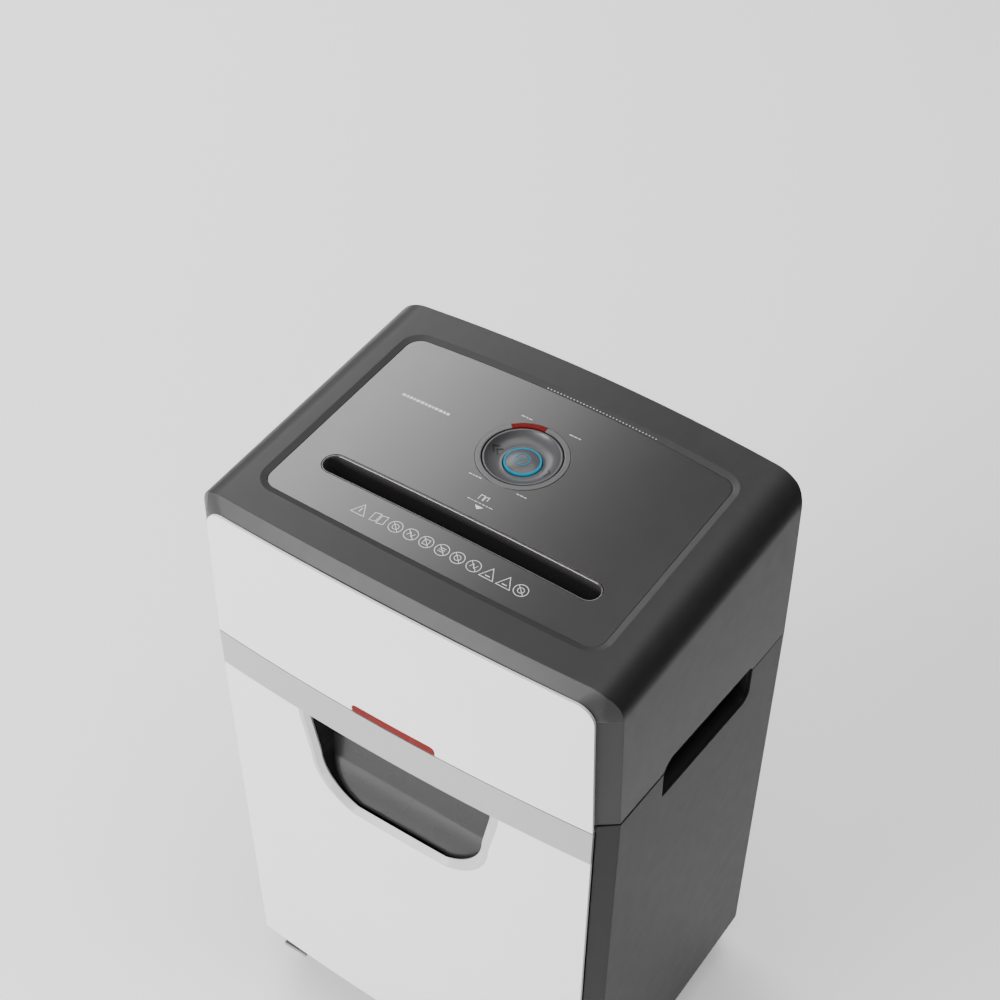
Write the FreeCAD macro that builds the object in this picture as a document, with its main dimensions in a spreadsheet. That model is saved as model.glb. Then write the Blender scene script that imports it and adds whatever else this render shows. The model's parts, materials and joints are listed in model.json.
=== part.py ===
import FreeCAD, Part
import math, os

# Cross-cut paper shredder with a pull-out bin, on four twin-wheel casters.
# Millimetres.  +Z up, front of the machine faces -Y, +X to the right seen from
# the front.  Origin: on the floor, under the centre of the bounding box.

os.makedirs("parts", exist_ok=True)
doc = FreeCAD.newDocument("shredder")
V = FreeCAD.Vector
sheet = doc.addObject("Spreadsheet::Sheet", "Dims")
sheet.Label = "Dims"
ROW = [1]


class Q:
    """A number together with the spreadsheet expression that gives it."""

    def __init__(self, v, e):
        self.v, self.e = float(v), e

    def _o(self, o):
        return o if isinstance(o, Q) else Q(o, repr(float(o)))

    def __add__(self, o):
        o = self._o(o)
        return Q(self.v + o.v, "(%s + %s)" % (self.e, o.e))

    __radd__ = __add__

    def __sub__(self, o):
        o = self._o(o)
        return Q(self.v - o.v, "(%s - %s)" % (self.e, o.e))

    def __rsub__(self, o):
        return self._o(o) - self

    def __mul__(self, o):
        o = self._o(o)
        return Q(self.v * o.v, "(%s * %s)" % (self.e, o.e))

    __rmul__ = __mul__

    def __truediv__(self, o):
        o = self._o(o)
        return Q(self.v / o.v, "(%s / %s)" % (self.e, o.e))

    def __neg__(self):
        return Q(-self.v, "(0 - %s)" % self.e)

    def __float__(self):
        return self.v


def dim(alias, value, note):
    r = str(ROW[0])
    sheet.set("A" + r, alias)
    sheet.set("B" + r, repr(float(value)))
    sheet.set("C" + r, note)
    sheet.setAlias("B" + r, alias)
    ROW[0] += 1
    return Q(value, "Dims." + alias)


def F(x):
    return float(x)


def put(obj, prop, q):
    """Set a property, bound to the sheet when the value comes from it."""
    if isinstance(q, Q):
        obj.setExpression(prop, q.e)
    elif "." in prop:
        obj.setExpression(prop, repr(float(q)))
    else:
        setattr(obj, prop, float(q))


# ---------------------------------------------------------------- dimensions
top = dim("top_height", 620.0, "floor to the crown of the lid")
hw = dim("half_width", 185.3, "half width at the top edge of the head")
flare = dim("side_flare", 2.7, "extra half width at the seam")
yf = dim("front_depth", 138.0, "centre line to the white front face")
yb = dim("back_depth", 138.0, "centre line to the back face")
fsag = dim("front_bow", 8.17, "bow of the white front over the half width")
bsag = dim("back_bow", 7.24, "bow of the back over the half width")
crown_sag = dim("crown_drop", 4.73, "drop of the lid over the half width")
crown_r = dim("crown_edge_radius", 27.6, "round along both upper side edges")
wall = dim("shell_wall", 2.8, "wall of the head casing")
front_t = dim("front_wall", 2.8, "wall of the white front pieces")
seam0 = dim("seam_height", 466.4, "height of the side seam at mid depth")
seam_k = dim("seam_slope", 0.0744, "fall of the side seam per mm towards the back")
gap = dim("seam_gap", 1.2, "gap at the seams")
part_z = dim("front_parting", 469.3, "height of the front parting line")
band = dim("band_height", 37.6, "height of the silver handle band")
cab_z = dim("cabinet_bottom", 54.0, "lower edge of the side panels")
cab_in = dim("cabinet_taper", 6.5, "how much narrower each side is at the bottom")
side_t = dim("side_wall", 3.0, "wall of the cabinet sides")
pan_w = dim("panel_half_width", 144.8, "half width of the glossy inset panel")
pan_f = dim("panel_front", 96.6, "centre line to the inset panel's front edge")
pan_b = dim("panel_back", 104.0, "centre line to the inset panel's back edge")
pan_drop = dim("panel_drop", 1.9, "inset panel below the lid surface")
pan_t = dim("panel_thickness", 3.0, "inset panel thickness")
slot_l = dim("slot_length", 242.0, "length of the paper mouth")
slot_w = dim("slot_width", 20.9, "width of the paper mouth")
slot_y = dim("slot_offset", 49.6, "centre line forward to the paper mouth")
ctl_y = dim("control_offset", 33.2, "centre line back to the control ring")
ring_r = dim("ring_radius", 35.4, "outer radius of the status ring")
ring_i = dim("ring_inner", 30.8, "inner radius of the status ring")
dish_r = dim("dish_radius", 30.1, "outer radius of the rocking dish")
btn_r = dim("button_radius", 14.5, "outer radius of the power button")
btn_lens = dim("button_lens", 12.9, "inner radius of the lit ring on the button")
cut_z = dim("cutter_height", 515.0, "height of both cutter shafts")
cut_c = dim("cutter_spacing", 35.0, "distance between the cutter shafts")
disc_r = dim("disc_radius", 19.5, "cutter disc outer radius")
disc_t = dim("disc_thickness", 3.6, "cutter disc thickness")
disc_p = dim("disc_pitch", 8.0, "spacing of the discs along a shaft")
shaft_r = dim("shaft_radius", 9.0, "cutter shaft radius under the discs")
neck_r = dim("neck_radius", 8.0, "cutter shaft radius in the bushes")
plate_x = dim("plate_offset", 124.0, "inner face of the end plates")
plate_t = dim("plate_thickness", 4.0, "end plate thickness")
deck_z = dim("deck_height", 450.0, "underside of the head deck")
deck_t = dim("deck_thickness", 4.0, "head deck thickness")
mot_r = dim("motor_radius", 30.0, "motor can radius")
axle_r = dim("axle_radius", 4.0, "gear axle radius")
run = dim("running_clearance", 0.05, "radial clearance of running fits")
tub_w = dim("tub_half_width", 158.0, "half width of the bin tub")
tub_f = dim("tub_front", 110.0, "centre line to the bin tub's front")
tub_b = dim("tub_back", 122.0, "centre line to the bin tub's back")
tub_z0 = dim("tub_bottom", 80.0, "underside of the bin tub")
tub_z1 = dim("tub_top", 437.0, "rim of the bin tub")
tub_t = dim("tub_wall", 2.5, "bin tub wall")
cas_x = dim("caster_offset", 138.0, "centre line to the caster stems")
cas_y = dim("caster_depth", 97.0, "centre line to the caster stems, in depth")
wheel_r = dim("wheel_radius", 22.0, "caster wheel radius")
trail = dim("caster_trail", 12.0, "axle behind the swivel axis")
base_z = dim("base_height", 58.0, "underside of the base plate")
base_t = dim("base_thickness", 3.0, "base plate thickness")
doc.recompute()

PIECES = []
PLANES = {"XY": "XY_Plane", "XZ": "XZ_Plane", "YZ": "YZ_Plane"}


def piece(obj, label):
    obj.Label = label
    PIECES.append(obj)
    return obj


def box(n, x0, x1, y0, y1, z0, z1):
    o = doc.addObject("Part::Box", n)
    put(o, "Length", x1 - x0)
    put(o, "Width", y1 - y0)
    put(o, "Height", z1 - z0)
    for a, q in zip("xyz", (x0, y0, z0)):
        put(o, "Placement.Base." + a, q)
    return o


ROT = {"X": FreeCAD.Rotation(V(0, 1, 0), 90), "Y": FreeCAD.Rotation(V(1, 0, 0), -90), "Z": FreeCAD.Rotation()}


def cyl(n, axis, x, y, z, r, length):
    """Cylinder that starts at x, y, z and runs along +axis."""
    o = doc.addObject("Part::Cylinder", n)
    o.Placement = FreeCAD.Placement(V(), ROT[axis])
    put(o, "Radius", r)
    put(o, "Height", length)
    for a, q in zip("xyz", (x, y, z)):
        put(o, "Placement.Base." + a, q)
    return o


def cut(n, base, *tools):
    o = doc.addObject("Part::Cut", n)
    o.Base = base
    o.Tool = tools[0] if len(tools) == 1 else fuse(n + "_tools", *tools)
    return o


def fuse(n, *objs):
    o = doc.addObject("Part::MultiFuse", n)
    o.Shapes = list(objs)
    return o


def common(n, *objs):
    o = doc.addObject("Part::MultiCommon", n)
    o.Shapes = list(objs)
    return o


def group(n, *objs):
    """Separate solids of one kind that share a node."""
    o = doc.addObject("Part::Compound", n)
    o.Links = list(objs)
    return o


def mirrored(n, src, nx=1, ny=0, nz=0):
    o = doc.addObject("Part::Mirroring", n)
    o.Source = src
    o.Normal = V(nx, ny, nz)
    return o


def edges_of(loop):
    """Closed path of points; a point with a third item is the middle of an arc."""
    out, i, n = [], 0, len(loop)
    while i < n:
        a = loop[i]
        b = loop[(i + 1) % n]
        if len(b) == 3:
            c = loop[(i + 2) % n]
            out.append(Part.ArcOfCircle(V(a[0], a[1], 0), V(b[0], b[1], 0), V(c[0], c[1], 0)))
            i += 2
        else:
            out.append(Part.LineSegment(V(a[0], a[1], 0), V(b[0], b[1], 0)))
            i += 1
    return out


def rounded(pts, radii):
    """Polygon with rounded corners, as a loop for edges_of."""
    out, n = [], len(pts)
    for i in range(n):
        p, a, b = pts[i], pts[i - 1], pts[(i + 1) % n]
        r = radii[i] if isinstance(radii, (list, tuple)) else radii
        if r <= 0:
            out.append(p)
            continue
        ua = (a[0] - p[0], a[1] - p[1])
        ub = (b[0] - p[0], b[1] - p[1])
        la, lb = math.hypot(*ua), math.hypot(*ub)
        ua, ub = (ua[0] / la, ua[1] / la), (ub[0] / lb, ub[1] / lb)
        half = math.acos(max(-1, min(1, ua[0] * ub[0] + ua[1] * ub[1]))) / 2
        d = r / math.tan(half)
        bis = (ua[0] + ub[0], ua[1] + ub[1])
        lbis = math.hypot(*bis)
        k = r / math.sin(half)
        c = (p[0] + bis[0] / lbis * k, p[1] + bis[1] / lbis * k)
        out.append((p[0] + ua[0] * d, p[1] + ua[1] * d))
        out.append((c[0] - bis[0] / lbis * r, c[1] - bis[1] / lbis * r, 1))
        out.append((p[0] + ub[0] * d, p[1] + ub[1] * d))
    return out


def body_new(n):
    return doc.addObject("PartDesign::Body", n)


def sketch(body, n, plane, at, loops=(), circles=(), rects=()):
    """Sketch on one of the body's own origin planes, moved along its normal."""
    s = body.newObject("Sketcher::SketchObject", n)
    for f in body.Origin.OriginFeatures:
        if f.Role == PLANES[plane]:
            s.AttachmentSupport = [(f, "")]
    s.MapMode = "FlatFace"
    put(s, "AttachmentOffset.Base.z", at)
    for loop in loops:
        s.addGeometry(edges_of(loop), False)
    for cx, cy, r in circles:
        g = s.addGeometry(Part.Circle(V(F(cx), F(cy), 0), V(0, 0, 1), F(r)), False)
        k = len(s.Constraints)
        import_c = [("DistanceX", cx), ("DistanceY", cy)]
        for kind, q in import_c:
            s.addConstraint(Sketcher.Constraint(kind, -1, 1, g, 3, F(q)))
            if isinstance(q, Q):
                s.setExpression("Constraints[%d]" % k, q.e)
            k += 1
        s.addConstraint(Sketcher.Constraint("Radius", g, F(r)))
        if isinstance(r, Q):
            s.setExpression("Constraints[%d]" % k, r.e)
    for x0, y0, x1, y1 in rects:
        a, b, c, d = V(F(x0), F(y0), 0), V(F(x1), F(y0), 0), V(F(x1), F(y1), 0), V(F(x0), F(y1), 0)
        g = len(s.Geometry)
        s.addGeometry([Part.LineSegment(a, b), Part.LineSegment(b, c), Part.LineSegment(c, d), Part.LineSegment(d, a)], False)
        for i in range(4):
            s.addConstraint(Sketcher.Constraint("Coincident", g + i, 2, g + (i + 1) % 4, 1))
        s.addConstraint(Sketcher.Constraint("Horizontal", g))
        s.addConstraint(Sketcher.Constraint("Horizontal", g + 2))
        s.addConstraint(Sketcher.Constraint("Vertical", g + 1))
        s.addConstraint(Sketcher.Constraint("Vertical", g + 3))
        for kind, gg, q in (("DistanceX", g, x0), ("DistanceY", g, y0), ("DistanceX", g + 2, x1), ("DistanceY", g + 2, y1)):
            k = len(s.Constraints)
            s.addConstraint(Sketcher.Constraint(kind, -1, 1, gg, 1, F(q)))
            if isinstance(q, Q):
                s.setExpression("Constraints[%d]" % k, q.e)
    return s


import Sketcher  # noqa: E402


def pad(body, n, sk, length, reverse=False):
    p = body.newObject("PartDesign::Pad", n)
    p.Profile = sk
    put(p, "Length", length)
    p.Reversed = reverse
    return p


def pocket(body, n, sk, length=None, reverse=False, both=False):
    p = body.newObject("PartDesign::Pocket", n)
    p.Profile = sk
    if length is None:
        p.Type = 1
    else:
        put(p, "Length", length)
    p.Reversed = reverse
    p.Midplane = both
    return p


def prism(n, plane, loops, a0, a1, circles=(), rects=()):
    """Body with one pad from a0 to a1 along the plane's axis (X, Y or Z)."""
    b = body_new(n)
    if plane == "XZ":
        s = sketch(b, n + "_sketch", plane, 0 - a1, loops, circles, rects)
    else:
        s = sketch(b, n + "_sketch", plane, a0, loops, circles, rects)
    pad(b, n + "_pad", s, a1 - a0)
    return b


def turned(n, loop, axis, x, y, z):
    """Turned piece: half profile in (radius, height), revolved about the piece's own axis."""
    b = body_new(n)
    s = sketch(b, n + "_sketch", "XZ", 0.0, [loop])
    r = b.newObject("PartDesign::Revolution", n + "_revolution")
    r.Profile = s
    r.ReferenceAxis = (s, ["V_Axis"])
    r.Angle = 360
    rot = {"Z": FreeCAD.Rotation(), "X": FreeCAD.Rotation(V(0, 1, 0), 90), "Y": FreeCAD.Rotation(V(1, 0, 0), -90)}[axis]
    b.Placement = FreeCAD.Placement(V(), rot)
    for a, q in zip("xyz", (x, y, z)):
        put(b, "Placement.Base." + a, q)
    return b


def loft(n, plane, sections, ruled=True):
    """Solid through parallel sections: (position, loop) pairs."""
    sks = []
    b = body_new(n)
    for i, (at, loop) in enumerate(sections):
        sks.append(sketch(b, "%s_s%d" % (n, i), plane, (0 - at) if plane == "XZ" else at, [loop]))
    lo = b.newObject("PartDesign::AdditiveLoft", n + "_loft")
    lo.Profile = sks[0]
    lo.Sections = sks[1:]
    lo.Ruled = ruled
    return b


# ------------------------------------------------------- shared curved outlines
HW = F(hw)


def bow(x, depth, sag):
    """Front or back line: a shallow parabola-like bow, given as y at x."""
    return depth + sag * (x / HW) ** 2


def crown(w, r, zt, sag, z0, wb):
    """Front-view outline: flat bottom, near-vertical sides, round shoulders, bowed top."""
    rc = HW * HW / (2.0 * sag)
    zc = zt - rc + math.sqrt((rc - r) ** 2 - (w - r) ** 2)
    dx, dz = (w - r), zc - (zt - rc)
    d = math.hypot(dx, dz)
    tx, tz = dx / d * rc, zt - rc + dz / d * rc
    a = math.atan2(dz, dx) / 2.0
    mx, mz = w - r + r * math.cos(a), zc + r * math.sin(a)
    return [(-wb, z0), (wb, z0), (w, zc), (mx, mz, 1), (tx, tz), (0.0, zt, 1), (-tx, tz), (-mx, mz, 1), (-w, zc)]


def bowed_band(w, front, back, fs, bs, r=0.0):
    """Plan outline of half width w between a bowed front and a bowed back."""
    f1, b1 = bow(w, front, fs), bow(w, back, -bs)
    if r <= 0:
        return [(-w, f1), (0.0, front, 1), (w, f1), (w, b1), (0.0, back, 1), (-w, b1)]
    # small corner rounds, tangent to the straight sides and close to tangent to the bows
    k = 0.29289 * r
    f2, b2 = bow(w - r, front, fs), bow(w - r, back, -bs)
    return [(-w + r, f2), (0.0, front, 1), (w - r, f2), (w - k, f2 + k, 1), (w, f2 + r), (w, b2 - r), (w - k, b2 - k, 1), (w - r, b2), (0.0, back, 1), (-w + r, b2), (-w + k, b2 - k, 1), (-w, b2 - r), (-w, f2 + r), (-w + k, f2 + k, 1)]


def arch(w, z_lo, z_hi, sag):
    """Front-view band between two parallel bowed lines."""
    d = sag * (w / HW) ** 2
    return [(-w, z_lo - d), (0.0, z_lo, 1), (w, z_lo - d), (w, z_hi - d), (0.0, z_hi, 1), (-w, z_hi - d)]


H = F(top)
YF, YB = -F(yf), F(yb)
FS, BS, CS = F(fsag), F(bsag), F(crown_sag)
CR, WL, FT = F(crown_r), F(wall), F(front_t)
FL = F(flare)
S0, SK, GP = F(seam0), F(seam_k), F(gap)


def seam(y):
    return S0 - SK * y


# --------------------------------------------------------------- head casing
# front bevel: every section in front of the crease is smaller than the one behind it
def bevel_section(y, grow=0.0):
    w = HW + 2.5 * (y + 121.3) + grow
    r = max(2.0, 27.6 + 1.68 * (y + 121.3))
    zt = H + 1.507 * (y + 127.9)
    return crown(w, r, zt, 16.3, 430.0, w + FL + 0.6)


def bevel_ring(n, shift):
    inner = loft(n + "_frustum", "XZ", [(-114.0 + shift, bevel_section(-114.0)), (-137.5 + shift, bevel_section(-137.5))])
    outer = box(n + "_block", -230.0, 230.0, -136.9 + shift, -115.0 + shift, 440.0, 660.0)
    return cut(n, outer, inner)


def shell_solid(n, t, shift, z0, fy):
    front_view = prism(n + "_elevation", "XZ", [crown(HW - t, CR - t, H - t, CS, 430.0, HW - t + FL + 0.6)], -160.0, 160.0)
    plan = prism(n + "_plan", "XY", [[(-HW - 8 + t, -100.0)] + [(-HW - 8 + t, bow(HW, fy, FS)), (0.0, fy, 1), (HW + 8 - t, bow(HW, fy, FS)), (HW + 8 - t, -100.0)]], z0, 640.0)
    rb = 12.0 - t
    w = HW + FL * 0.5 - t
    b2 = bow(w - rb, YB - t, -BS)
    k = 0.29289 * rb
    plan_b = prism(n + "_plan_back", "XY", [[(-HW - 8 + t, -100.5), (HW + 8 - t, -100.5), (HW + 8 - t, 60.0), (w + 1.4, 60.0), (w + 1.4, b2 - rb), (w - k + 1.0, b2 - k, 1), (w - rb, b2), (0.0, YB - t, 1), (-w + rb, b2), (-w + k - 1.0, b2 - k, 1), (-w - 1.4, b2 - rb), (-w - 1.4, 60.0), (-HW - 8 + t, 60.0)]], z0, 640.0)
    both = fuse(n + "_plan_all", plan, plan_b)
    c = common(n + "_block", front_view, both)
    return cut(n, c, bevel_ring(n + "_bevel", shift))


outer = shell_solid("casing_outer", 0.0, 0.0, 450.0, YF + FT + 0.2)
inner = shell_solid("casing_inner", WL, 4.4, 444.0, YF + FT + 0.2 + WL)

# bottom of the head: everything under the sloping seam is cut away
below = prism("casing_below", "YZ", [[(-160.0, 400.0), (160.0, 400.0), (160.0, seam(160.0) + GP / 2), (-160.0, seam(-160.0) + GP / 2)]], -210.0, 210.0)

# opening for the inset panel, with a wide chamfered rim
PW, PF, PB = F(pan_w), -F(pan_f), F(pan_b)
pan_open = prism("casing_opening", "XY", [bowed_band(PW + 0.3, PF - 0.3, PB + 0.3, 5.58, 9.04, 13.0)], 590.0, 640.0)
# grip notch shared by the casing and the side panels
GRIP = rounded([(-57.0, 441.5), (-58.6, 480.6), (72.0, 466.0), (72.0, 426.6)], [2.5, 13.0, 7.0, 9.0])
grip_r = prism("casing_grip_cut", "YZ", [GRIP], 150.0, 230.0)
grip_l = prism("casing_grip_cut_l", "YZ", [GRIP], -230.0, -150.0)

# rear cut-outs for the mains switch and the cable gland
SWX, SWZ = -118.0, 492.0
GLX, GLZ = -152.0, 492.0
sw_hole = box("casing_switch_cut", SWX - 14.2, SWX + 14.2, 110.0, 150.0, SWZ - 11.2, SWZ + 11.2)
gl_hole = cyl("casing_gland_cut", "Y", GLX, 110.0, GLZ, 8.1, 40.0)
# cooling slots in the rear wall
vents = [box("casing_vent_%d" % i, 10.0 + i * 9.0, 14.0 + i * 9.0, 110.0, 150.0, 505.0, 555.0) for i in range(10)]
# shallow seats in the rear wall for the mains switch and the cord gland
sw_rec = box("casing_switch_recess", SWX - 17.1, SWX + 17.1, 134.15, 150.0, SWZ - 14.1, SWZ + 14.1)
gl_rec = cyl("casing_gland_recess", "Y", GLX, 133.45, GLZ, 11.1, 20.0)
casing = cut("casing_cut", outer, inner, below, pan_open, grip_r, grip_l, sw_hole, gl_hole, sw_rec, gl_rec, *vents)
doc.recompute()
# wide chamfered rim round the inset panel: every upper edge of the opening
rim_edges = []
for i_e, e_ in enumerate(casing.Shape.Edges):
    bb_ = e_.BoundBox
    mid_ = e_.valueAt((e_.FirstParameter + e_.LastParameter) / 2)
    on_roof = abs(mid_.z - (H - CS * (mid_.x / HW) ** 2)) < 0.15
    if on_roof and abs(mid_.x) < PW + 1.0 and PF - 1.0 < mid_.y < PB + 1.0 and bb_.ZMax > H - 6:
        rim_edges.append(i_e + 1)
rim = casing
for d1, d2 in ((1.7, 5.4), (5.4, 1.7), (1.7, 1.7)):
    cham = doc.addObject("Part::Chamfer", "casing_rim_%d" % int(d1 * 10 + d2))
    cham.Base = casing
    cham.Edges = [(i_e, d1, d2) for i_e in rim_edges]
    doc.recompute()
    sh_ = cham.Shape
    if (not sh_.isNull()) and sh_.isValid() and casing.Shape.Volume - 9000 < sh_.Volume < casing.Shape.Volume:
        rim = cham
        print("rim chamfer", d1, d2, casing.Shape.Volume - sh_.Volume)
        break
    doc.removeObject(cham.Name)
piece(rim, "head_casing")

# -------------------------------------------------------------- inset top panel
plate_top = prism("panel_band", "XZ", [arch(160.0, H - F(pan_drop) - F(pan_t), H - F(pan_drop), CS)], -130.0, 130.0)
plate_out = prism("panel_plan", "XY", [bowed_band(PW, PF, PB, 5.58, 9.04, 12.7)], 590.0, 640.0)
fl_band = prism("panel_flange_band", "XZ", [arch(165.0, H - WL - 2.1, H - WL - 0.05, CS)], -130.0, 130.0)
fl_out = prism("panel_flange_plan", "XY", [bowed_band(PW + 5.0, PF - 5.0, PB + 5.0, 5.58, 9.04, 17.0)], 590.0, 640.0)
panel = fuse("panel_body", common("panel_plate", plate_top, plate_out), common("panel_flange", fl_band, fl_out))


def stadium(l, w, cx, cy):
    r = w / 2.0
    a = l / 2.0 - r
    return [(cx - a, cy - r), (cx + a, cy - r), (cx + a + r, cy, 1), (cx + a, cy + r), (cx - a, cy + r), (cx - a - r, cy, 1)]


SY = -F(slot_y)
SL, SW = F(slot_l), F(slot_w)
slot_cut = prism("panel_slot_cut", "XY", [stadium(SL, SW, 0.0, SY)], 590.0, 640.0)
ctl_cut = cyl("panel_control_cut", "Z", 0.0, ctl_y, 590.0, ring_r + 0.2, 50.0)
piece(cut("panel_cut", panel, slot_cut, ctl_cut), "top_panel")

# -------------------------------------------------------------- white front panel
fp_elev = prism("front_elevation", "XZ", [crown(168.0, 16.0, H - 11.2, 5.0, F(part_z) + 0.6, 170.8)], -160.0, -100.0)
fp_plan = prism("front_plan", "XY", [bowed_band(175.0, YF, YF + FT - 0.5, FS, -FS)], 460.0, 640.0)
fp = common("front_block", fp_elev, fp_plan)
lamp_w = 38.0
lamp_cut = prism("front_lamp_cut", "XZ", [rounded([(-lamp_w, 460.0), (lamp_w, 460.0), (lamp_w, 478.0), (-lamp_w, 478.0)], [0, 0, 4.5, 4.5])], -160.0, -120.0)
piece(cut("front_cut", fp, lamp_cut), "front_panel")
# red light bar let into the front panel's lower edge
lb_elev = prism("lamp_elevation", "XZ", [rounded([(-lamp_w + 0.15, F(part_z) + 0.6), (lamp_w - 0.15, F(part_z) + 0.6), (lamp_w - 0.15, 477.85), (-lamp_w + 0.15, 477.85)], [0, 0, 4.35, 4.35])], -160.0, -120.0)
lb_plan = prism("lamp_plan", "XY", [bowed_band(60.0, YF + 0.1, YF + FT, FS, -FS)], 460.0, 640.0)
piece(common("lamp_block", lb_elev, lb_plan), "front_light_bar")

# -------------------------------------------------------------- feed throat
th_top = H - F(pan_drop) - 0.2
th_o = loft("throat_outer", "XY", [(541.0, stadium(240.0, 12.0, 0, SY)), (th_top - 20.0, stadium(240.0, 17.0, 0, SY)), (th_top - F(pan_t), stadium(SL - 0.3, SW - 0.3, 0, SY))])
th_c = prism("throat_collar", "XY", [stadium(SL - 0.3, SW - 0.3, 0, SY)], th_top - F(pan_t) - 0.5, th_top)
th_i = loft("throat_inner", "XY", [(540.5, stadium(234.0, 6.0, 0, SY)), (th_top - 22.0, stadium(234.0, 8.5, 0, SY)), (th_top + 0.5, stadium(SL - 4.0, SW - 4.0, 0, SY))])
th_f = prism("throat_flange", "XY", [stadium(254.0, 34.0, 0, SY)], H - 10.5, H - 8.5)
th_trim = prism("throat_trim", "XZ", [arch(160.0, 500.0, th_top + 0.1, CS)], -130.0, 130.0)
piece(common("throat_trimmed", cut("throat_cut", fuse("throat_body", th_o, th_c, th_f), th_i), th_trim), "feed_throat")

# paper sensor: a small optical housing on the throat's rear wall
piece(box("paper_sensor_box", -9.0, 9.0, SY + 7.45, SY + 17.5, 560.0, 572.0), "paper_sensor")

# -------------------------------------------------------------- controls
CY = F(ctl_y)
ZP = H - F(pan_drop)
ring = turned("ring_turned", [(F(ring_i), -9.0), (F(ring_r), -9.0), (F(ring_r), 0.2), (F(ring_r) - 0.6, 0.5), (F(ring_i) + 0.6, 0.5), (F(ring_i), 0.1)], "Z", 0.0, ctl_y, top - pan_drop)
seg_a0, seg_a1 = math.radians(91.0), math.radians(138.0)


def sector(r, a0, a1):
    am = (a0 + a1) / 2
    return [(0.0, CY), (r * math.cos(a0), CY + r * math.sin(a0)), (r * math.cos(am), CY + r * math.sin(am), 1), (r * math.cos(a1), CY + r * math.sin(a1))]


seg_cut = prism("ring_segment_cut", "XY", [sector(50.0, seg_a0, seg_a1)], ZP - 5.0, ZP + 5.0)
piece(cut("ring_cut", ring, seg_cut), "status_ring")
seg_full = turned("lamp_turned", [(F(ring_i) + 0.1, -5.0), (F(ring_r) - 0.1, -5.0), (F(ring_r) - 0.1, 0.2), (F(ring_r) - 0.7, 0.5), (F(ring_i) + 0.7, 0.5), (F(ring_i) + 0.1, 0.1)], "Z", 0.0, ctl_y, top - pan_drop)
seg_keep = prism("lamp_sector", "XY", [sector(50.0, seg_a0 + 0.002, seg_a1 - 0.002)], ZP - 5.0, ZP + 5.0)
piece(common("lamp_common", seg_full, seg_keep), "status_light_red")

DR = F(dish_r)
bore = F(btn_r) + 0.75
# rocking dish: rim, concave face, central bore and a skirt
dish = [(bore, -9.5), (bore, -6.3), (bore + 1.5, -6.9)] + [(20.0, -6.5, 1), (28.2, -0.2), (29.0, 0.1, 1), (DR, -0.6), (DR, -7.0), (DR - 2.0, -7.0), (DR - 3.6, -5.2), (20.0, -9.5)]
piece(turned("dish_turned", dish, "Z", 0.0, ctl_y, top - pan_drop), "control_dish")
BR, BL = F(btn_r), F(btn_lens)
piece(turned("button_turned", [(0.0, -17.0), (4.0, -17.0), (4.0, -9.0), (BR - 0.05, -9.0), (BR - 0.05, -6.6), (BL - 0.05, -6.6), (BL - 0.05, -5.2), (8.0, -3.7, 1), (2.0, -3.1), (0.0, -3.1)], "Z", 0.0, ctl_y, top - pan_drop), "power_button")
piece(turned("lens_turned", [(BL, -6.55), (BR, -6.55), (BR, -5.3), (BR - 0.4, -4.9), (BL, -4.9)], "Z", 0.0, ctl_y, top - pan_drop), "power_light_ring")
board = prism("board_plate", "XY", [rounded([(-48.0, -4.0), (48.0, -4.0), (48.0, 74.0), (-48.0, 74.0)], 4.0)], 594.0, 595.6, circles=())
bits = [box("board_switch", -3.2, 3.2, CY - 3.2, CY + 3.2, 595.5, 599.3),
        box("board_key_left", -25.0, -19.0, CY - 3.0, CY + 3.0, 595.5, 603.5),
        box("board_key_right", 19.0, 25.0, CY - 3.0, CY + 3.0, 595.5, 603.5),
        box("board_connector", -40.0, -22.0, 60.0, 68.0, 595.5, 603.0)]
piece(fuse("board_fuse", board, *bits), "control_board")

# -------------------------------------------------------------- cutter block
CZ = F(cut_z)
YF1, YR1 = SY - F(cut_c) / 2, SY + F(cut_c) / 2
yq_f = 0 - slot_y - cut_c / 2
yq_r = 0 - slot_y + cut_c / 2
PX, PT = F(plate_x), F(plate_t)
NR, RN = F(neck_r), F(run)
G2 = (YR1 + 46.5 * math.cos(math.radians(20)), CZ + 46.5 * math.sin(math.radians(20)))
G1 = (G2[0] + 37.5 * math.cos(math.radians(-10)), G2[1] + 37.5 * math.sin(math.radians(-10)))
MO = (G1[0] + 31.0 * math.cos(math.radians(-18)), G1[1] + 31.0 * math.sin(math.radians(-18)))
bush_r = 12.0
rods = [(-96.0, 478.0), (-96.0, 548.0), (15.0, 476.0), (12.0, 552.0)]
plate_outline = rounded([(-108.0, F(deck_z) + F(deck_t)), (112.0, F(deck_z) + F(deck_t)), (112.0, 552.0), (90.0, 562.0), (-100.0, 562.0), (-108.0, 554.0)], [0, 0, 8, 8, 6, 6])


def end_plate(n, x0, x1, holes):
    b = body_new(n)
    s = sketch(b, n + "_sketch", "YZ", x0, [plate_outline])
    pad(b, n + "_pad", s, x1 - x0)
    s2 = sketch(b, n + "_holes", "YZ", x0 - 1, (), holes)
    pocket(b, n + "_pocket", s2, x1 - x0 + 2, reverse=True)
    return b


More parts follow.
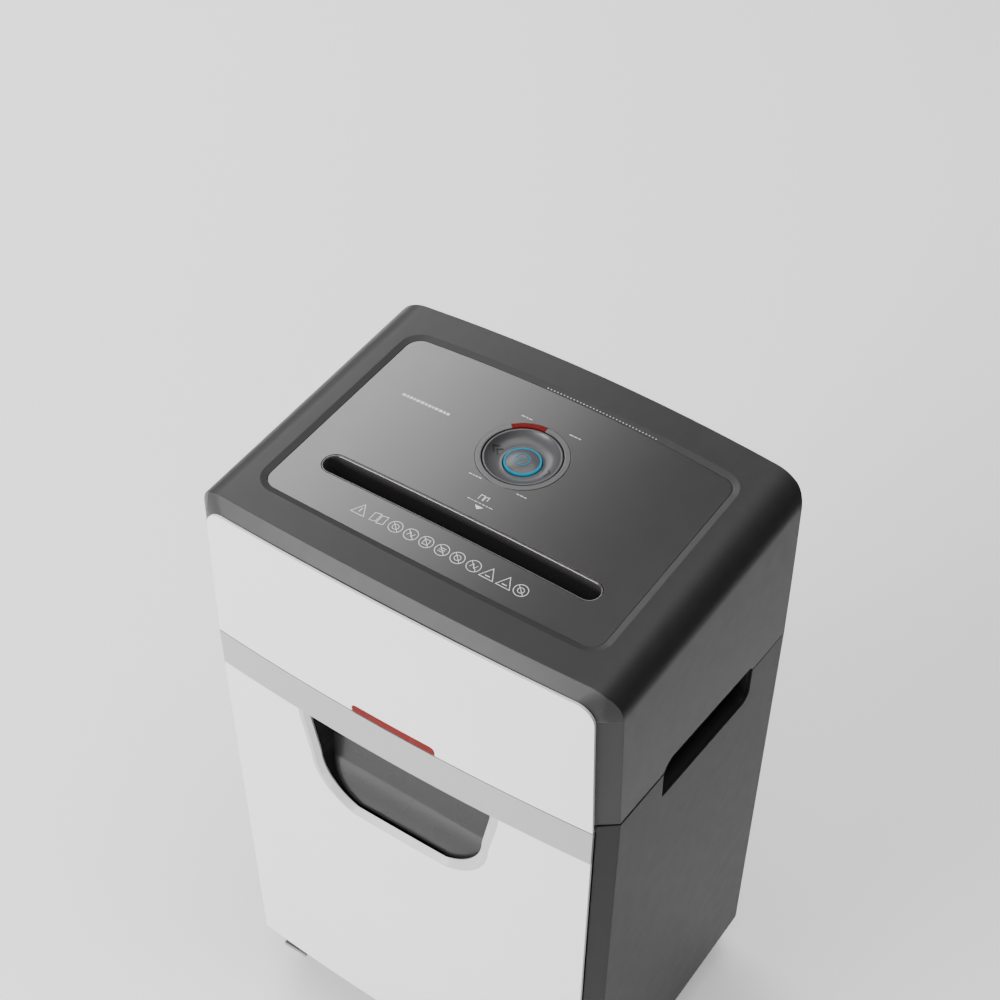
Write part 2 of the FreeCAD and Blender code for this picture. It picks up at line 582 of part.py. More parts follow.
bush_holes = [(yq_f, cut_z, bush_r), (yq_r, cut_z, bush_r)]
rod_holes = [(y, z, 4.0) for y, z in rods]
piece(end_plate("plate_left_body", 0 - plate_x - plate_t, 0 - plate_x, bush_holes + rod_holes), "chassis_plate_left")
piece(end_plate("plate_right_body", plate_x, plate_x + plate_t, bush_holes + rod_holes + [(G2[0], G2[1], 4.0), (G1[0], G1[1], 4.0), (MO[0], MO[1], 9.0)]), "chassis_plate_right")
rod_list = []
for i, (y, z) in enumerate(rods):
    rod = fuse("rod_%d" % i, cyl("rod_core_%d" % i, "X", 0 - plate_x - plate_t - 3.0, y, z, 4.0, plate_x * 2 + plate_t * 2 + 6.0),
               cyl("rod_head_a_%d" % i, "X", 0 - plate_x - plate_t - 5.0, y, z, 6.5, 5.0), cyl("rod_head_b_%d" % i, "X", plate_x + plate_t, y, z, 6.5, 5.0))
    rod_list.append(rod)
piece(group("rods", *rod_list), "tie_rods")
bushes = []
for i, (x, y) in enumerate(((-1, yq_f), (-1, yq_r), (1, yq_f), (1, yq_r))):
    x0 = (0 - plate_x - plate_t) if x < 0 else plate_x
    xf = (0 - plate_x) if x < 0 else (plate_x - 2.0)
    body = fuse("bush_body_%d" % i, cyl("bush_core_%d" % i, "X", x0, y, cut_z, bush_r, plate_t), cyl("bush_flange_%d" % i, "X", xf, y, cut_z, bush_r + 2.0, 2.0))
    bushes.append(cut("bush_%d" % i, body, cyl("bush_bore_%d" % i, "X", x0 - 5.0, y, cut_z, neck_r + run, plate_t + 10.0)))
piece(group("bushes", *bushes), "shaft_bushes")

# cutter shafts: a full-size seat between two necks that run in the bushes
def shaft(n, y, xl, xr):
    seat = 118.5
    loop = [(0.0, xl), (NR - 0.6, xl), (NR, xl + 0.6), (NR, -seat), (F(shaft_r), -seat), (F(shaft_r), seat), (NR, seat), (NR, xr - 0.6), (NR - 0.6, xr), (0.0, xr)]
    return turned(n, loop, "X", 0.0, y, cut_z)


piece(shaft("shaft_front_body", yq_f, -143.0, 130.5), "cutter_shaft_front")
piece(shaft("shaft_rear_body", yq_r, -143.0, 167.0), "cutter_shaft_rear")


# cross-cut discs: round discs with hooked teeth, one sketch padded and repeated along the shaft
def disc_loop(cy, phase, teeth=4):
    pts = []
    r, n = F(disc_r), teeth
    for k in range(n):
        a0 = phase + 2 * math.pi * k / n
        a1 = a0 + 2 * math.pi / n
        notch = math.radians(16)
        am = (a0 + notch + a1) / 2
        pts.append((cy + r * math.cos(a0 + notch), CZ + (r - 1.2) * math.sin(a0 + notch)) if False else (cy + (r - 1.4) * math.cos(a0 + notch), CZ + (r - 1.4) * math.sin(a0 + notch)))
        pts.append((cy + (r - 0.5) * math.cos(am), CZ + (r - 0.5) * math.sin(am), 1))
        pts.append((cy + r * math.cos(a1), CZ + r * math.sin(a1)))
        pts.append((cy + (r - 3.6) * math.cos(a1 + math.radians(3)), CZ + (r - 3.6) * math.sin(a1 + math.radians(3))))
    return pts


def disc_stack(n, y, yv, x_first, count, phase):
    b = body_new(n)
    s = sketch(b, n + "_sketch", "YZ", x_first, [disc_loop(yv, phase)], [(y, cut_z, shaft_r)])
    pad(b, n + "_pad", s, disc_t)
    doc.recompute()
    one = b.Shape.copy()
    # the body keeps the first disc; the stack is its copies at the disc pitch
    f = doc.addObject("Part::Feature", n + "_stack")
    f.Shape = Part.Compound([one.Solids[0].translated(V(F(disc_p) * i, 0, 0)) for i in range(count)])
    return f


N_DISC = 28
X0 = -F(disc_p) * (N_DISC - 1) / 2 - F(disc_t) / 2
piece(disc_stack("discs_front", yq_f, YF1, X0 - 2.0, N_DISC, 0.3), "cutter_discs_front")
piece(disc_stack("discs_rear", yq_r, YR1, X0 + 2.0, N_DISC, 0.9), "cutter_discs_rear")


# stripper combs: a bar with fingers that stand between the discs
def comb(n, y_bar0, y_bar1, y_tip, x_first):
    b0, b1, tip = sorted((y_bar0, y_bar1)) + [y_tip]
    pts = [(-118.0, y_bar0), (-118.0, y_bar1)]
    for i in range(N_DISC - 1):
        xc = x_first + F(disc_t) / 2 + F(disc_p) * (i + 0.5)
        pts += [(xc - 1.7, y_bar1), (xc - 1.7, y_tip), (xc + 1.7, y_tip), (xc + 1.7, y_bar1)]
    pts += [(118.0, y_bar1), (118.0, y_bar0)]
    return prism(n, "XY", [pts], cut_z - 5.0, cut_z + 5.0)


c_front = comb("comb_front", -103.0, -94.0, YF1 - 9.6, X0 - 2.0)
c_rear = comb("comb_rear", 3.0, -6.0, YR1 + 9.6, X0 + 2.0)
feet = [box("comb_tab_%d" % i, sx * 124.0 - (0 if sx > 0 else 0) - (6.2 if sx > 0 else 0), sx * 124.0 + (6.2 if sx < 0 else 0), y0, y1, CZ - 5.0, CZ + 5.0) for i, (sx, y0, y1) in enumerate(((-1, -103.0, -94.0), (1, -103.0, -94.0), (-1, -6.0, 3.0), (1, -6.0, 3.0)))]
piece(group("combs", fuse("comb_front_all", c_front, feet[0], feet[1]), fuse("comb_rear_all", c_rear, feet[2], feet[3])), "stripper_combs")


# -------------------------------------------------------------- gears
def gear_loop(m, z, cy, cz, phase):
    rp, bl = m * z / 2.0, 0.30 * m
    ra, rf, rb = rp + 0.80 * m, rp - 1.15 * m, m * z / 2.0 * math.cos(math.radians(20))
    inv20 = math.tan(math.radians(20)) - math.radians(20)
    psi = math.pi / (2 * z) - bl / (2 * rp)

    def half(r):
        if r <= rb:
            return psi + inv20
        a = math.acos(rb / r)
        return psi + inv20 - (math.tan(a) - a)

    r1 = max(rb, rf + 0.15 * m)
    prof = [(rf, half(r1) * (0.86 if rf < rb else 1.0)), (r1, half(r1)), (rp, half(rp)), (ra, half(ra))]
    pts = []
    for k in range(z):
        c = phase + 2 * math.pi * k / z
        for r, h in prof:
            pts.append((cy + r * math.cos(c - h), cz + r * math.sin(c - h)))
        for r, h in reversed(prof):
            pts.append((cy + r * math.cos(c + h), cz + r * math.sin(c + h)))
    return pts


def mesh_phase(alpha, za, zb, ca, cb):
    """Phase of gear b so that it meshes with gear a, whose phase is alpha."""
    th = math.atan2(cb[1] - ca[1], cb[0] - ca[0])
    pa = ((th - alpha) * za / (2 * math.pi)) % 1.0
    return th + math.pi + (pa + 0.5) * 2 * math.pi / zb


def gear_body(n, layers, circles_bore):
    """layers: (x0, x1, loop or None, (cy, cz, r) or None); bore cut through all."""
    b = body_new(n)
    lo = min(l[0] for l in layers)
    hi = max(l[1] for l in layers)
    for i, (x0, x1, loop, circ) in enumerate(layers):
        s = sketch(b, "%s_s%d" % (n, i), "YZ", x0, [loop] if loop else (), [circ] if circ else ())
        pad(b, "%s_p%d" % (n, i), s, x1 - x0)
    s = sketch(b, n + "_bore_sketch", "YZ", lo - 1.0, (), circles_bore)
    pocket(b, n + "_bore", s, hi - lo + 2.0, reverse=True)
    return b


CR_ = (YR1, CZ)
CF_ = (YF1, CZ)
a_drive = 0.11
a_g2s = mesh_phase(a_drive, 48, 14, CR_, G2)
a_g2b = 0.05
a_g1s = mesh_phase(a_g2b, 46, 14, G2, G1)
a_g1b = 0.07
a_mot = mesh_phase(a_g1b, 50, 12, G1, MO)
a_sync_r = 0.0
a_sync_f = mesh_phase(a_sync_r, 28, 28, CR_, CF_)
piece(gear_body("drive_gear_body", [(154.0, 164.0, gear_loop(1.5, 48, YR1, CZ, a_drive), None)], [(yq_r, cut_z, neck_r)]), "drive_gear")
piece(gear_body("sync_front_body", [(-141.0, -131.0, gear_loop(1.25, 28, YF1, CZ, a_sync_f), None)], [(yq_f, cut_z, neck_r)]), "sync_gear_front")
piece(gear_body("sync_rear_body", [(-141.0, -131.0, gear_loop(1.25, 28, YR1, CZ, a_sync_r), None)], [(yq_r, cut_z, neck_r)]), "sync_gear_rear")
piece(gear_body("gear2_body", [(142.0, 150.0, gear_loop(1.25, 46, G2[0], G2[1], a_g2b), None), (150.0, 166.0, gear_loop(1.5, 14, G2[0], G2[1], a_g2s), None)], [(G2[0], G2[1], axle_r + run)]), "gear_stage_2")
piece(gear_body("gear1_body", [(131.0, 139.0, gear_loop(1.0, 50, G1[0], G1[1], a_g1b), None), (139.0, 152.0, gear_loop(1.25, 14, G1[0], G1[1], a_g1s), None)], [(G1[0], G1[1], axle_r + run)]), "gear_stage_1")
ax2 = cyl("axle_2", "X", 118.0, G2[0], G2[1], axle_r, 51.0)
ax1 = cyl("axle_1", "X", 118.0, G1[0], G1[1], axle_r, 51.0)
piece(group("axles", ax1, ax2), "gear_axles")

# -------------------------------------------------------------- motor
MX0, MX1 = 8.0, 121.0
can_o = cyl("can_outer", "X", MX0, MO[0], MO[1], mot_r, MX1 - MX0)
can_f = box("can_flange", MX1 - 0.01, 124.0, MO[0] - 24.0, MO[0] + 26.0, MO[1] - 27.0, MO[1] + 27.0)
can_i = cyl("can_inner", "X", MX0 + 5.0, MO[0], MO[1], mot_r - 4.0, MX1 - MX0 - 10.0)
can_b = cyl("can_bore", "X", MX0 - 5.0, MO[0], MO[1], axle_r + run, 140.0)
can_s = [box("can_slot_%d" % i, MX0 + 16.0, MX0 + 30.0, MO[0] - 3.0, MO[0] + 3.0, MO[1] + (24.0 if i else -32.0), MO[1] + (32.0 if i else -24.0)) for i in range(2)]
can_relief = cyl("can_axle_relief", "X", 117.5, G1[0], G1[1], 4.5, 7.0)
piece(cut("can_relieved", cut("can_cut", fuse("can_all", can_o, can_f), can_i, can_b, *can_s), can_relief), "motor_can")
rot_core = cyl("rotor_core", "X", MX0 + 22.0, MO[0], MO[1], 22.0, 66.0)
rot_sh = cyl("rotor_shaft", "X", MX0 - 14.0, MO[0], MO[1], axle_r, 144.0 - (MX0 - 14.0))
pin = gear_body("rotor_pinion", [(130.0, 142.0, gear_loop(1.0, 12, MO[0], MO[1], a_mot), None)], [(MO[0], MO[1], 3.0)])
piece(fuse("rotor_all", rot_core, rot_sh, pin), "motor_rotor")
# cooling fan: hub and seven flat blades
blades = []
for i in range(7):
    bl = box("fan_blade_%d" % i, MX0 - 12.0, MX0 - 3.0, -1.0, 1.0, 7.0, 25.0)
    blades.append(bl)
fan_hub = prism("fan_hub", "YZ", (), MX0 - 12.0, MX0 - 3.0, circles=[(MO[0], MO[1], 9.0)])
fan_blades = doc.addObject("Part::Feature", "fan_blades")
doc.recompute()
sh = []
for i, bl in enumerate(blades):
    c = bl.Shape.copy()
    c.rotate(V(0, 0, 0), V(1, 0, 0), i * 360.0 / 7)
    c.translate(V(0, MO[0], MO[1]))
    sh.append(c)
fan_blades.Shape = Part.Compound(sh)
fan_bore = cyl("fan_bore", "X", MX0 - 20.0, MO[0], MO[1], axle_r, 30.0)
piece(cut("fan_cut", fuse("fan_all", fan_hub, fan_blades), fan_bore), "motor_fan")

# gear cover: a tray over the gear train, open towards the end plate
gc_out = rounded([(-78.0, 468.0), (100.0, 468.0), (100.0, 556.0), (40.0, 566.0), (-20.0, 572.0), (-78.0, 558.0)], 8.0)
gc_in = rounded([(-75.5, 470.5), (97.5, 470.5), (97.5, 553.6), (40.0, 563.3), (-20.0, 569.3), (-75.5, 555.8)], 6.0)
gcb = body_new("cover_body")
s = sketch(gcb, "cover_outline", "YZ", plate_x + plate_t + 0.5, [gc_out])
pad(gcb, "cover_pad", s, 42.5)
s = sketch(gcb, "cover_hollow", "YZ", plate_x + plate_t + 0.4, [gc_in])
pocket(gcb, "cover_pocket", s, 40.1, reverse=True)
cov_cut = [cyl("cover_axle_cut_1", "X", 165.0, G1[0], G1[1], axle_r, 4.0), cyl("cover_axle_cut_2", "X", 165.0, G2[0], G2[1], axle_r, 4.0)]
rod_clear = [cyl("cover_rod_cut_%d" % i, "X", 120.0, y, z, 7.2, 16.0) for i, (y, z) in enumerate(rods)]
piece(cut("cover_cut", gcb, *(cov_cut + rod_clear)), "gear_cover")

# -------------------------------------------------------------- electrics
pb = box("power_plate", -152.0, -150.4, -40.0, 80.0, 476.0, 566.0)
comps = [box("power_relay", -165.0, -151.9, -30.0, -10.0, 485.0, 505.0), box("power_choke", -168.0, -151.9, 5.0, 33.0, 490.0, 520.0),
         cyl("power_capacitor", "X", -172.0, 55.0, 510.0, 10.0, 20.1), box("power_sink", -166.0, -151.9, -30.0, 40.0, 535.0, 555.0)]
feet_pb = [box("power_foot_%d" % i, -152.0, -146.0, y, y + 6.0, 454.0, 480.0) for i, y in enumerate((-36.0, 70.0))]
piece(fuse("power_fuse", pb, *(comps + feet_pb)), "power_board")

sw_flange = box("switch_flange", SWX - 17.0, SWX + 17.0, 134.2, 137.4, SWZ - 14.0, SWZ + 14.0)
sw_body = box("switch_body", SWX - 14.0, SWX + 14.0, 112.0, 134.3, SWZ - 11.0, SWZ + 11.0)
sw_in = box("switch_inner", SWX - 11.0, SWX + 11.0, 121.0, 140.0, SWZ - 8.5, SWZ + 8.5)
sw_pin = cyl("switch_pivot", "X", SWX - 12.0, 130.0, SWZ, 1.5, 24.0)
piece(fuse("switch_all", cut("switch_cut", fuse("switch_outer", sw_flange, sw_body), sw_in), sw_pin), "mains_switch_housing")
rk = rounded([(134.9, SWZ - 6.6), (134.9, SWZ + 6.6), (128.0, SWZ + 5.2), (126.6, SWZ), (128.0, SWZ - 5.2)], [0.8, 0.8, 0.8, 2, 0.8])
rk_b = body_new("rocker_body")
s = sketch(rk_b, "rocker_outline", "YZ", SWX - 10.4, [rk])
pad(rk_b, "rocker_pad", s, 20.8)
s = sketch(rk_b, "rocker_bore_sketch", "YZ", SWX - 12.0, (), [(130.0, SWZ, 1.5 + run)])
pocket(rk_b, "rocker_bore", s, 24.0, reverse=True)
piece(rk_b, "mains_rocker")

gl = fuse("gland_all", cyl("gland_body", "Y", GLX, 122.0, GLZ, 8.0, 14.0), cyl("gland_nut", "Y", GLX, 122.0, GLZ, 11.0, 6.0), cyl("gland_flange", "Y", GLX, 133.5, GLZ, 11.0, 4.3))
piece(cut("gland_cut", gl, cyl("gland_bore", "Y", GLX, 110.0, GLZ, 3.6, 40.0)), "cable_gland")

# slotted optical interlock: senses the tongue on the bin
il = box("interlock_block", 129.0, 149.0, -105.5, -93.0, 454.0, 465.5)
il_slot = box("interlock_slot", 136.5, 141.5, -108.0, -96.5, 456.5, 470.0)
piece(cut("interlock_cut", il, il_slot), "interlock_switch")

# -------------------------------------------------------------- deck of the head
deck = prism("deck_plate", "XY", [[(-182.0, -106.0), (182.0, -106.0), (182.0, 115.0), (170.0, 127.0), (-170.0, 127.0), (-182.0, 115.0)]], F(deck_z), F(deck_z) + F(deck_t))
chute = box("deck_chute_cut", -116.0, 116.0, -88.0, -12.0, deck_z - 20.0, deck_z + 20.0)
chute_o = box("deck_chute_wall", -118.5, 118.5, -90.5, -9.5, deck_z - 9.0, deck_z + 0.5)
grip_room = [box("deck_grip_cut_%d" % i, sx * 164.0 - (0 if sx > 0 else 30), sx * 164.0 + (30 if sx > 0 else 0), -64.0, 78.0, 440.0, 470.0) for i, sx in enumerate((-1, 1))]
SCREWS = [(-150.0, -98.0), (150.0, -98.0), (-100.0, 122.0), (100.0, 122.0), (-172.0, 100.0), (172.0, 100.0)]
deck_holes = [cyl("deck_hole_%d" % i, "Z", x, y, deck_z - 1.0, 1.9, deck_t + 2.0) for i, (x, y) in enumerate(SCREWS)]
piece(cut("deck_cut", fuse("deck_all", deck, chute_o), chute, *(grip_room + deck_holes)), "head_base")


# -------------------------------------------------------------- cabinet sides
def x_side(z):
    """Outer half width of the cabinet at height z."""
    return HW + FL - F(cab_in) * (466.0 - z) / 412.0


def x_white(z):
    """Half width of the white front pieces at height z."""
    return 171.0 - 0.0138 * (469.0 - z)


def side_loop(z, sx, t):
    xo, xw = x_side(z), x_white(z) + 0.9
    c = 12.0
    fo = bow(xw, YF + FT + 0.2, FS)
    w = xo - c
    bo = bow(w, YB, -BS)
    k = 0.29289
    we = w - 4.0
    o = [(xw, fo), (xo, -121.3), (xo, bo - c), (xo - k * c, bo - k * c, 1), (w, bo), (we, bow(we, YB, -BS))]
    ri = c - t
    i_ = [(we, bow(we, YB - t, -BS)), (w, bo - t), (xo - t - k * ri, bo - t - k * ri, 1), (xo - t, bo - c), (xo - t, -121.3 + t * 0.9), (xw, fo + t + 1.2)]
    return [((sx * p[0],) + tuple(p[1:])) for p in o + i_]


def side_panel(n, sx):
    lo, hi = F(cab_z), 480.0
    body = loft(n + "_shell", "XY", [(lo, side_loop(lo, sx, F(side_t))), (hi, side_loop(hi, sx, F(side_t)))])
    above = prism(n + "_above", "YZ", [[(-160.0, 520.0), (160.0, 520.0), (160.0, seam(160.0) - GP / 2), (-160.0, seam(-160.0) - GP / 2)]], -210.0, 210.0)
    return cut(n, body, above, grip_r if sx > 0 else grip_l)


piece(side_panel("side_left_cut", -1), "side_panel_left")
piece(side_panel("side_right_cut", 1), "side_panel_right")

# grip cups behind the side notches: shallow trays, open outwards
def cup(n, sx):
    deep = 12.0
    o = rounded([(-60.0, 438.6), (-61.5, 483.6), (75.0, 468.8), (75.0, 423.6)], [3, 14, 8, 10])
    i = rounded([(-57.2, 441.3), (-58.8, 480.8), (72.2, 466.2), (72.2, 426.4)], [2.5, 13, 7, 9])
    b = body_new(n)
    x1 = HW + FL - F(side_t) - 0.9
    x0 = x1 - deep
    if sx > 0:
        s = sketch(b, n + "_outline", "YZ", x0, [o])
        pad(b, n + "_pad", s, deep)
        s = sketch(b, n + "_hollow", "YZ", x0 + 2.0, [i])
        pocket(b, n + "_pocket", s, deep, reverse=True)
    else:
        s = sketch(b, n + "_outline", "YZ", -x1, [o])
        pad(b, n + "_pad", s, deep)
        s = sketch(b, n + "_hollow", "YZ", -x1 - 0.1, [i])
        pocket(b, n + "_pocket", s, deep - 1.9, reverse=True)
    return b


piece(group("cups", cup("cup_left", -1), cup("cup_right", 1)), "grip_cups")

# -------------------------------------------------------------- back panel and base
bk_plan = loft("back_plan", "XY", [(F(cab_z) + 2.0, bowed_band(x_side(F(cab_z) + 2.0) - 16.4, YB - 3.0, YB, -BS, BS)), (F(seam0), bowed_band(x_side(F(seam0)) - 16.4, YB - 3.0, YB, -BS, BS))])
bk_top = prism("back_above", "YZ", [[(100.0, 520.0), (160.0, 520.0), (160.0, seam(160.0) - GP / 2), (100.0, seam(100.0) - GP / 2)]], -210.0, 210.0)
piece(cut("back_cut", bk_plan, bk_top), "back_panel")
base_out = [(-176.0, -119.0), (176.0, -119.0), (176.0, 117.0), (165.0, 127.5), (-165.0, 127.5), (-176.0, 117.0)]
base_b = body_new("base_body")
s = sketch(base_b, "base_outline", "XY", base_z, [base_out])
pad(base_b, "base_pad", s, base_t)
stem_pts = [(sx, sy) for sy in (-1, 1) for sx in (-1, 1)]
s = sketch(base_b, "base_bosses", "XY", base_z + base_t, (), [(sx * cas_x, sy * cas_y, 9.0) for sx, sy in stem_pts])
pad(base_b, "base_boss_pad", s, 14.0)
s = sketch(base_b, "base_stem_holes", "XY", base_z - 1.0, (), [(sx * cas_x, sy * cas_y, 5.0 + run) for sx, sy in stem_pts])
pocket(base_b, "base_stem_pocket", s, 15.0, reverse=True)
piece(base_b, "base_plate")

# rails that carry the bin by its rim
rails = []
for i, sx in enumerate((-1, 1)):
    a, c = (tub_w + 3.0), (tub_w + 25.4)
    x0, x1 = ((0 - c), (0 - a)) if sx < 0 else (a, c)
    xf0, xf1 = ((0 - c), (0 - c + 3.0)) if sx < 0 else (c - 3.0, c)
    rails.append(fuse("rail_%d" % i, box("rail_ledge_%d" % i, x0, x1, -108.0, 118.0, 418.0, 421.0), box("rail_web_%d" % i, xf0, xf1, -108.0, 118.0, 390.0, 420.0)))
piece(group("rails", *rails), "bin_rails")

# -------------------------------------------------------------- bin
TW, TF, TB, Z0, Z1, TT = F(tub_w), -F(tub_f), F(tub_b), F(tub_z0), F(tub_z1), F(tub_t)
tb = loft("tub_outer", "XY", [(Z0, rounded([(-TW + 6, TF + 6), (TW - 6, TF + 6), (TW - 6, TB - 6), (-TW + 6, TB - 6)], 14.0)), (Z1, rounded([(-TW, TF), (TW, TF), (TW, TB), (-TW, TB)], 14.0))])
ti = loft("tub_inner", "XY", [(Z0 + TT, rounded([(-TW + 6 + TT, TF + 6 + TT), (TW - 6 - TT, TF + 6 + TT), (TW - 6 - TT, TB - 6 - TT), (-TW + 6 + TT, TB - 6 - TT)], 11.5)), (Z1 + 0.5, rounded([(-TW + TT, TF + TT), (TW - TT, TF + TT), (TW - TT, TB - TT), (-TW + TT, TB - TT)], 11.5))])
lips = [box("tub_lip_%d" % i, (0 - tub_w - 12.0) if i == 0 else (tub_w - 2.4), (0 - tub_w + 2.4) if i == 0 else (tub_w + 12.0), -100.0, 112.0, 421.6, 424.1) for i in range(2)]
tub_win = prism("tub_window_cut", "XZ", [rounded([(-74.0, 432.0), (74.0, 432.0), (62.0, 346.0), (-62.0, 346.0)], [6, 6, 20, 20])], TF - 5.0, TF + 14.0)
# the front wall is tied to the white front by a ring of spacers
ties = [box("tub_tie_%d" % i, x0, x1, YF + 8.0, TF + 6.0 * (Z1 - z0) / (Z1 - Z0) + 1.2, z0, z1) for i, (x0, x1, z0, z1) in enumerate(((-140.0, -120.0, 300.0, 320.0), (120.0, 140.0, 300.0, 320.0), (-140.0, -120.0, 110.0, 130.0), (120.0, 140.0, 110.0, 130.0), (-140.0, -120.0, 405.0, 425.0), (120.0, 140.0, 405.0, 425.0)))]
tub_in_cut = ti
BSC = [(-130.0, 310.0), (130.0, 310.0), (-130.0, 120.0), (130.0, 120.0)]
tub_holes = [cyl("tub_hole_%d" % i, "Y", x, TF - 6.0, z, 1.9, 20.0) for i, (x, z) in enumerate(BSC)]
tub = cut("tub_cut", fuse("tub_all", tb, *(lips + ties)), tub_in_cut, tub_win, *tub_holes)
piece(tub, "bin_tub")


def front_loop(z, y0, y1, inset=0.0):
    w = x_white(z) - inset
    return bowed_band(w, y0, y1, FS, -FS)


PZ, BD = F(part_z), F(band)
z_top, z_band = PZ - 0.6, PZ - BD
bf = loft("bin_front_sheet", "XY", [(62.0, front_loop(62.0, YF, YF + FT)), (z_band - 0.05, front_loop(z_band - 0.05, YF, YF + FT))])
WIN_O = [(-93.5, 440.0), (-92.6, 424.0), (-84.0, 384.0), (-74.0, 354.0, 1), (-45.0, 334.5), (45.0, 334.5), (74.0, 354.0, 1), (84.0, 384.0), (92.6, 424.0), (93.5, 440.0)]
WIN_I = [(-84.6, 440.0), (-83.8, 424.0), (-76.6, 388.0), (-67.0, 359.0, 1), (-42.0, 340.5), (42.0, 340.5), (67.0, 359.0, 1), (76.6, 388.0), (83.8, 424.0), (84.6, 440.0)]
win_cut = prism("bin_front_window", "XZ", [WIN_O], -160.0, -110.0)
flange_b = box("bin_front_flange", -150.0, 150.0, YF + FT - 0.02, YF + 8.0, 70.0, 72.5)
posts = [box("bin_front_post_%d" % i, x0 + 1.0, x1 - 1.0, YF + FT - 0.02, YF + 8.0, z0, z1) for i, (x0, x1, z0, z1) in enumerate(((-141.0, -119.0, 300.0, 320.0), (119.0, 141.0, 300.0, 320.0), (-141.0, -119.0, 110.0, 130.0), (119.0, 141.0, 110.0, 130.0), (-141.0, -119.0, 405.0, 425.0), (119.0, 141.0, 405.0, 425.0)))]
sheet_bow = prism("bin_front_ribs_keep", "XY", [[(-175.0, bow(175.0, YF + FT - 0.4, FS)), (0.0, YF + FT - 0.4, 1), (175.0, bow(175.0, YF + FT - 0.4, FS)), (175.0, -90.0), (-175.0, -90.0)]], 50.0, 480.0)
ribs = common("bin_front_ribs", fuse("bin_front_ribs_all", flange_b, *posts), sheet_bow)
piece(cut("bin_front_cut", fuse("bin_front_all", bf, ribs), win_cut), "bin_front")

# silver handle band: a deep lip, open behind so that fingers reach up behind it
hb = loft("handle_sheet", "XY", [(z_band, front_loop(z_band, YF, YF + FT)), (z_top, front_loop(z_top, YF, YF + FT))])
hb_top = loft("handle_top", "XY", [(z_top - 2.6, front_loop(z_top - 2.6, YF + 0.5, YF + 17.0, 0.6)), (z_top, front_loop(z_top, YF + 0.5, YF + 17.0, 0.6))])
hb_tongue = box("handle_tongue", 138.0, 140.0, -107.5, -98.5, 458.0, 465.8)
hb_tie = [box("handle_web_%d" % i, x0, x0 + 3.0, bow(x0 + 1.5, YF, FS) + 1.6, bow(x0 + 1.5, YF, FS) + 16.0, z_band + 8.0, z_top - 0.5) for i, x0 in enumerate((-120.0, 117.0, -150.0, 147.0))]
tongue_arm = box("handle_tongue_arm", 136.0, 142.0, YF + 16.5, -107.2, 462.8, 466.4)
piece(fuse("handle_all", hb, hb_top, hb_tongue, tongue_arm, *hb_tie), "bin_handle_bar")

# grey bezel: a chamfered frame let into the window opening, under the band
bz_o = prism("bezel_plan_out", "XZ", [WIN_O], -160.0, -110.0)
bz_band = prism("bezel_band", "XY", [bowed_band(120.0, YF + 0.15, YF + 4.7, FS, -FS)], 320.0, z_band - 0.1)
bz_ring = common("bezel_block", bz_o, bz_band)
bz_cut = loft("bezel_chamfer", "XZ", [(YF - 0.4, WIN_O), (YF + 4.6, WIN_I)])
bz_thru = prism("bezel_through", "XZ", [WIN_I], YF + 4.5, -110.0)
piece(cut("bezel_cut", bz_ring, bz_cut, bz_thru), "window_bezel")

# smoked window: a scoop behind the bezel that leans back to the top, with two side cheeks
YW = YF + 1.4
w_prof = [(YW + 8.2, 336.0), (YW + 11.5, 356.0, 1), (YW + 18.0, 372.0), (YW + 23.2, 396.0, 1), (YW + 25.0, 431.0), (YW + 22.5, 431.0), (YW + 20.7, 396.5, 1), (YW + 15.6, 373.0), (YW + 9.1, 357.0, 1), (YW + 5.9, 336.0)]
w_glass = prism("window_sheet", "YZ", [w_prof], -88.0, 88.0)
w_keep = prism("window_outline", "XZ", [[(p[0] * 1.03,) + tuple(p[1:]) for p in WIN_I]], -160.0, -100.0)
w_side = prism("window_cheek_profile", "YZ", [[(YW + 5.9, 336.0), (YW + 8.2, 336.0), (YW + 11.5, 356.0, 1), (YW + 18.0, 372.0), (YW + 23.2, 396.0, 1), (YW + 25.0, 431.0), (YW + 5.9, 431.0)]], -90.0, 90.0)
cheek_o = prism("window_cheek_out", "XZ", [[(p[0] * 1.03,) + tuple(p[1:]) for p in WIN_I]], -160.0, -100.0)
cheek_i = prism("window_cheek_in", "XZ", [WIN_I], -160.0, -100.0)
cheeks = common("window_cheeks", w_side, cut("window_cheek_ring", cheek_o, cheek_i))
w_top = box("window_trim", -100.0, 100.0, -140.0, -100.0, 430.5, 450.0)
piece(cut("window_cut", fuse("window_all", common("window_glass", w_glass, w_keep), cheeks), w_top), "bin_window")

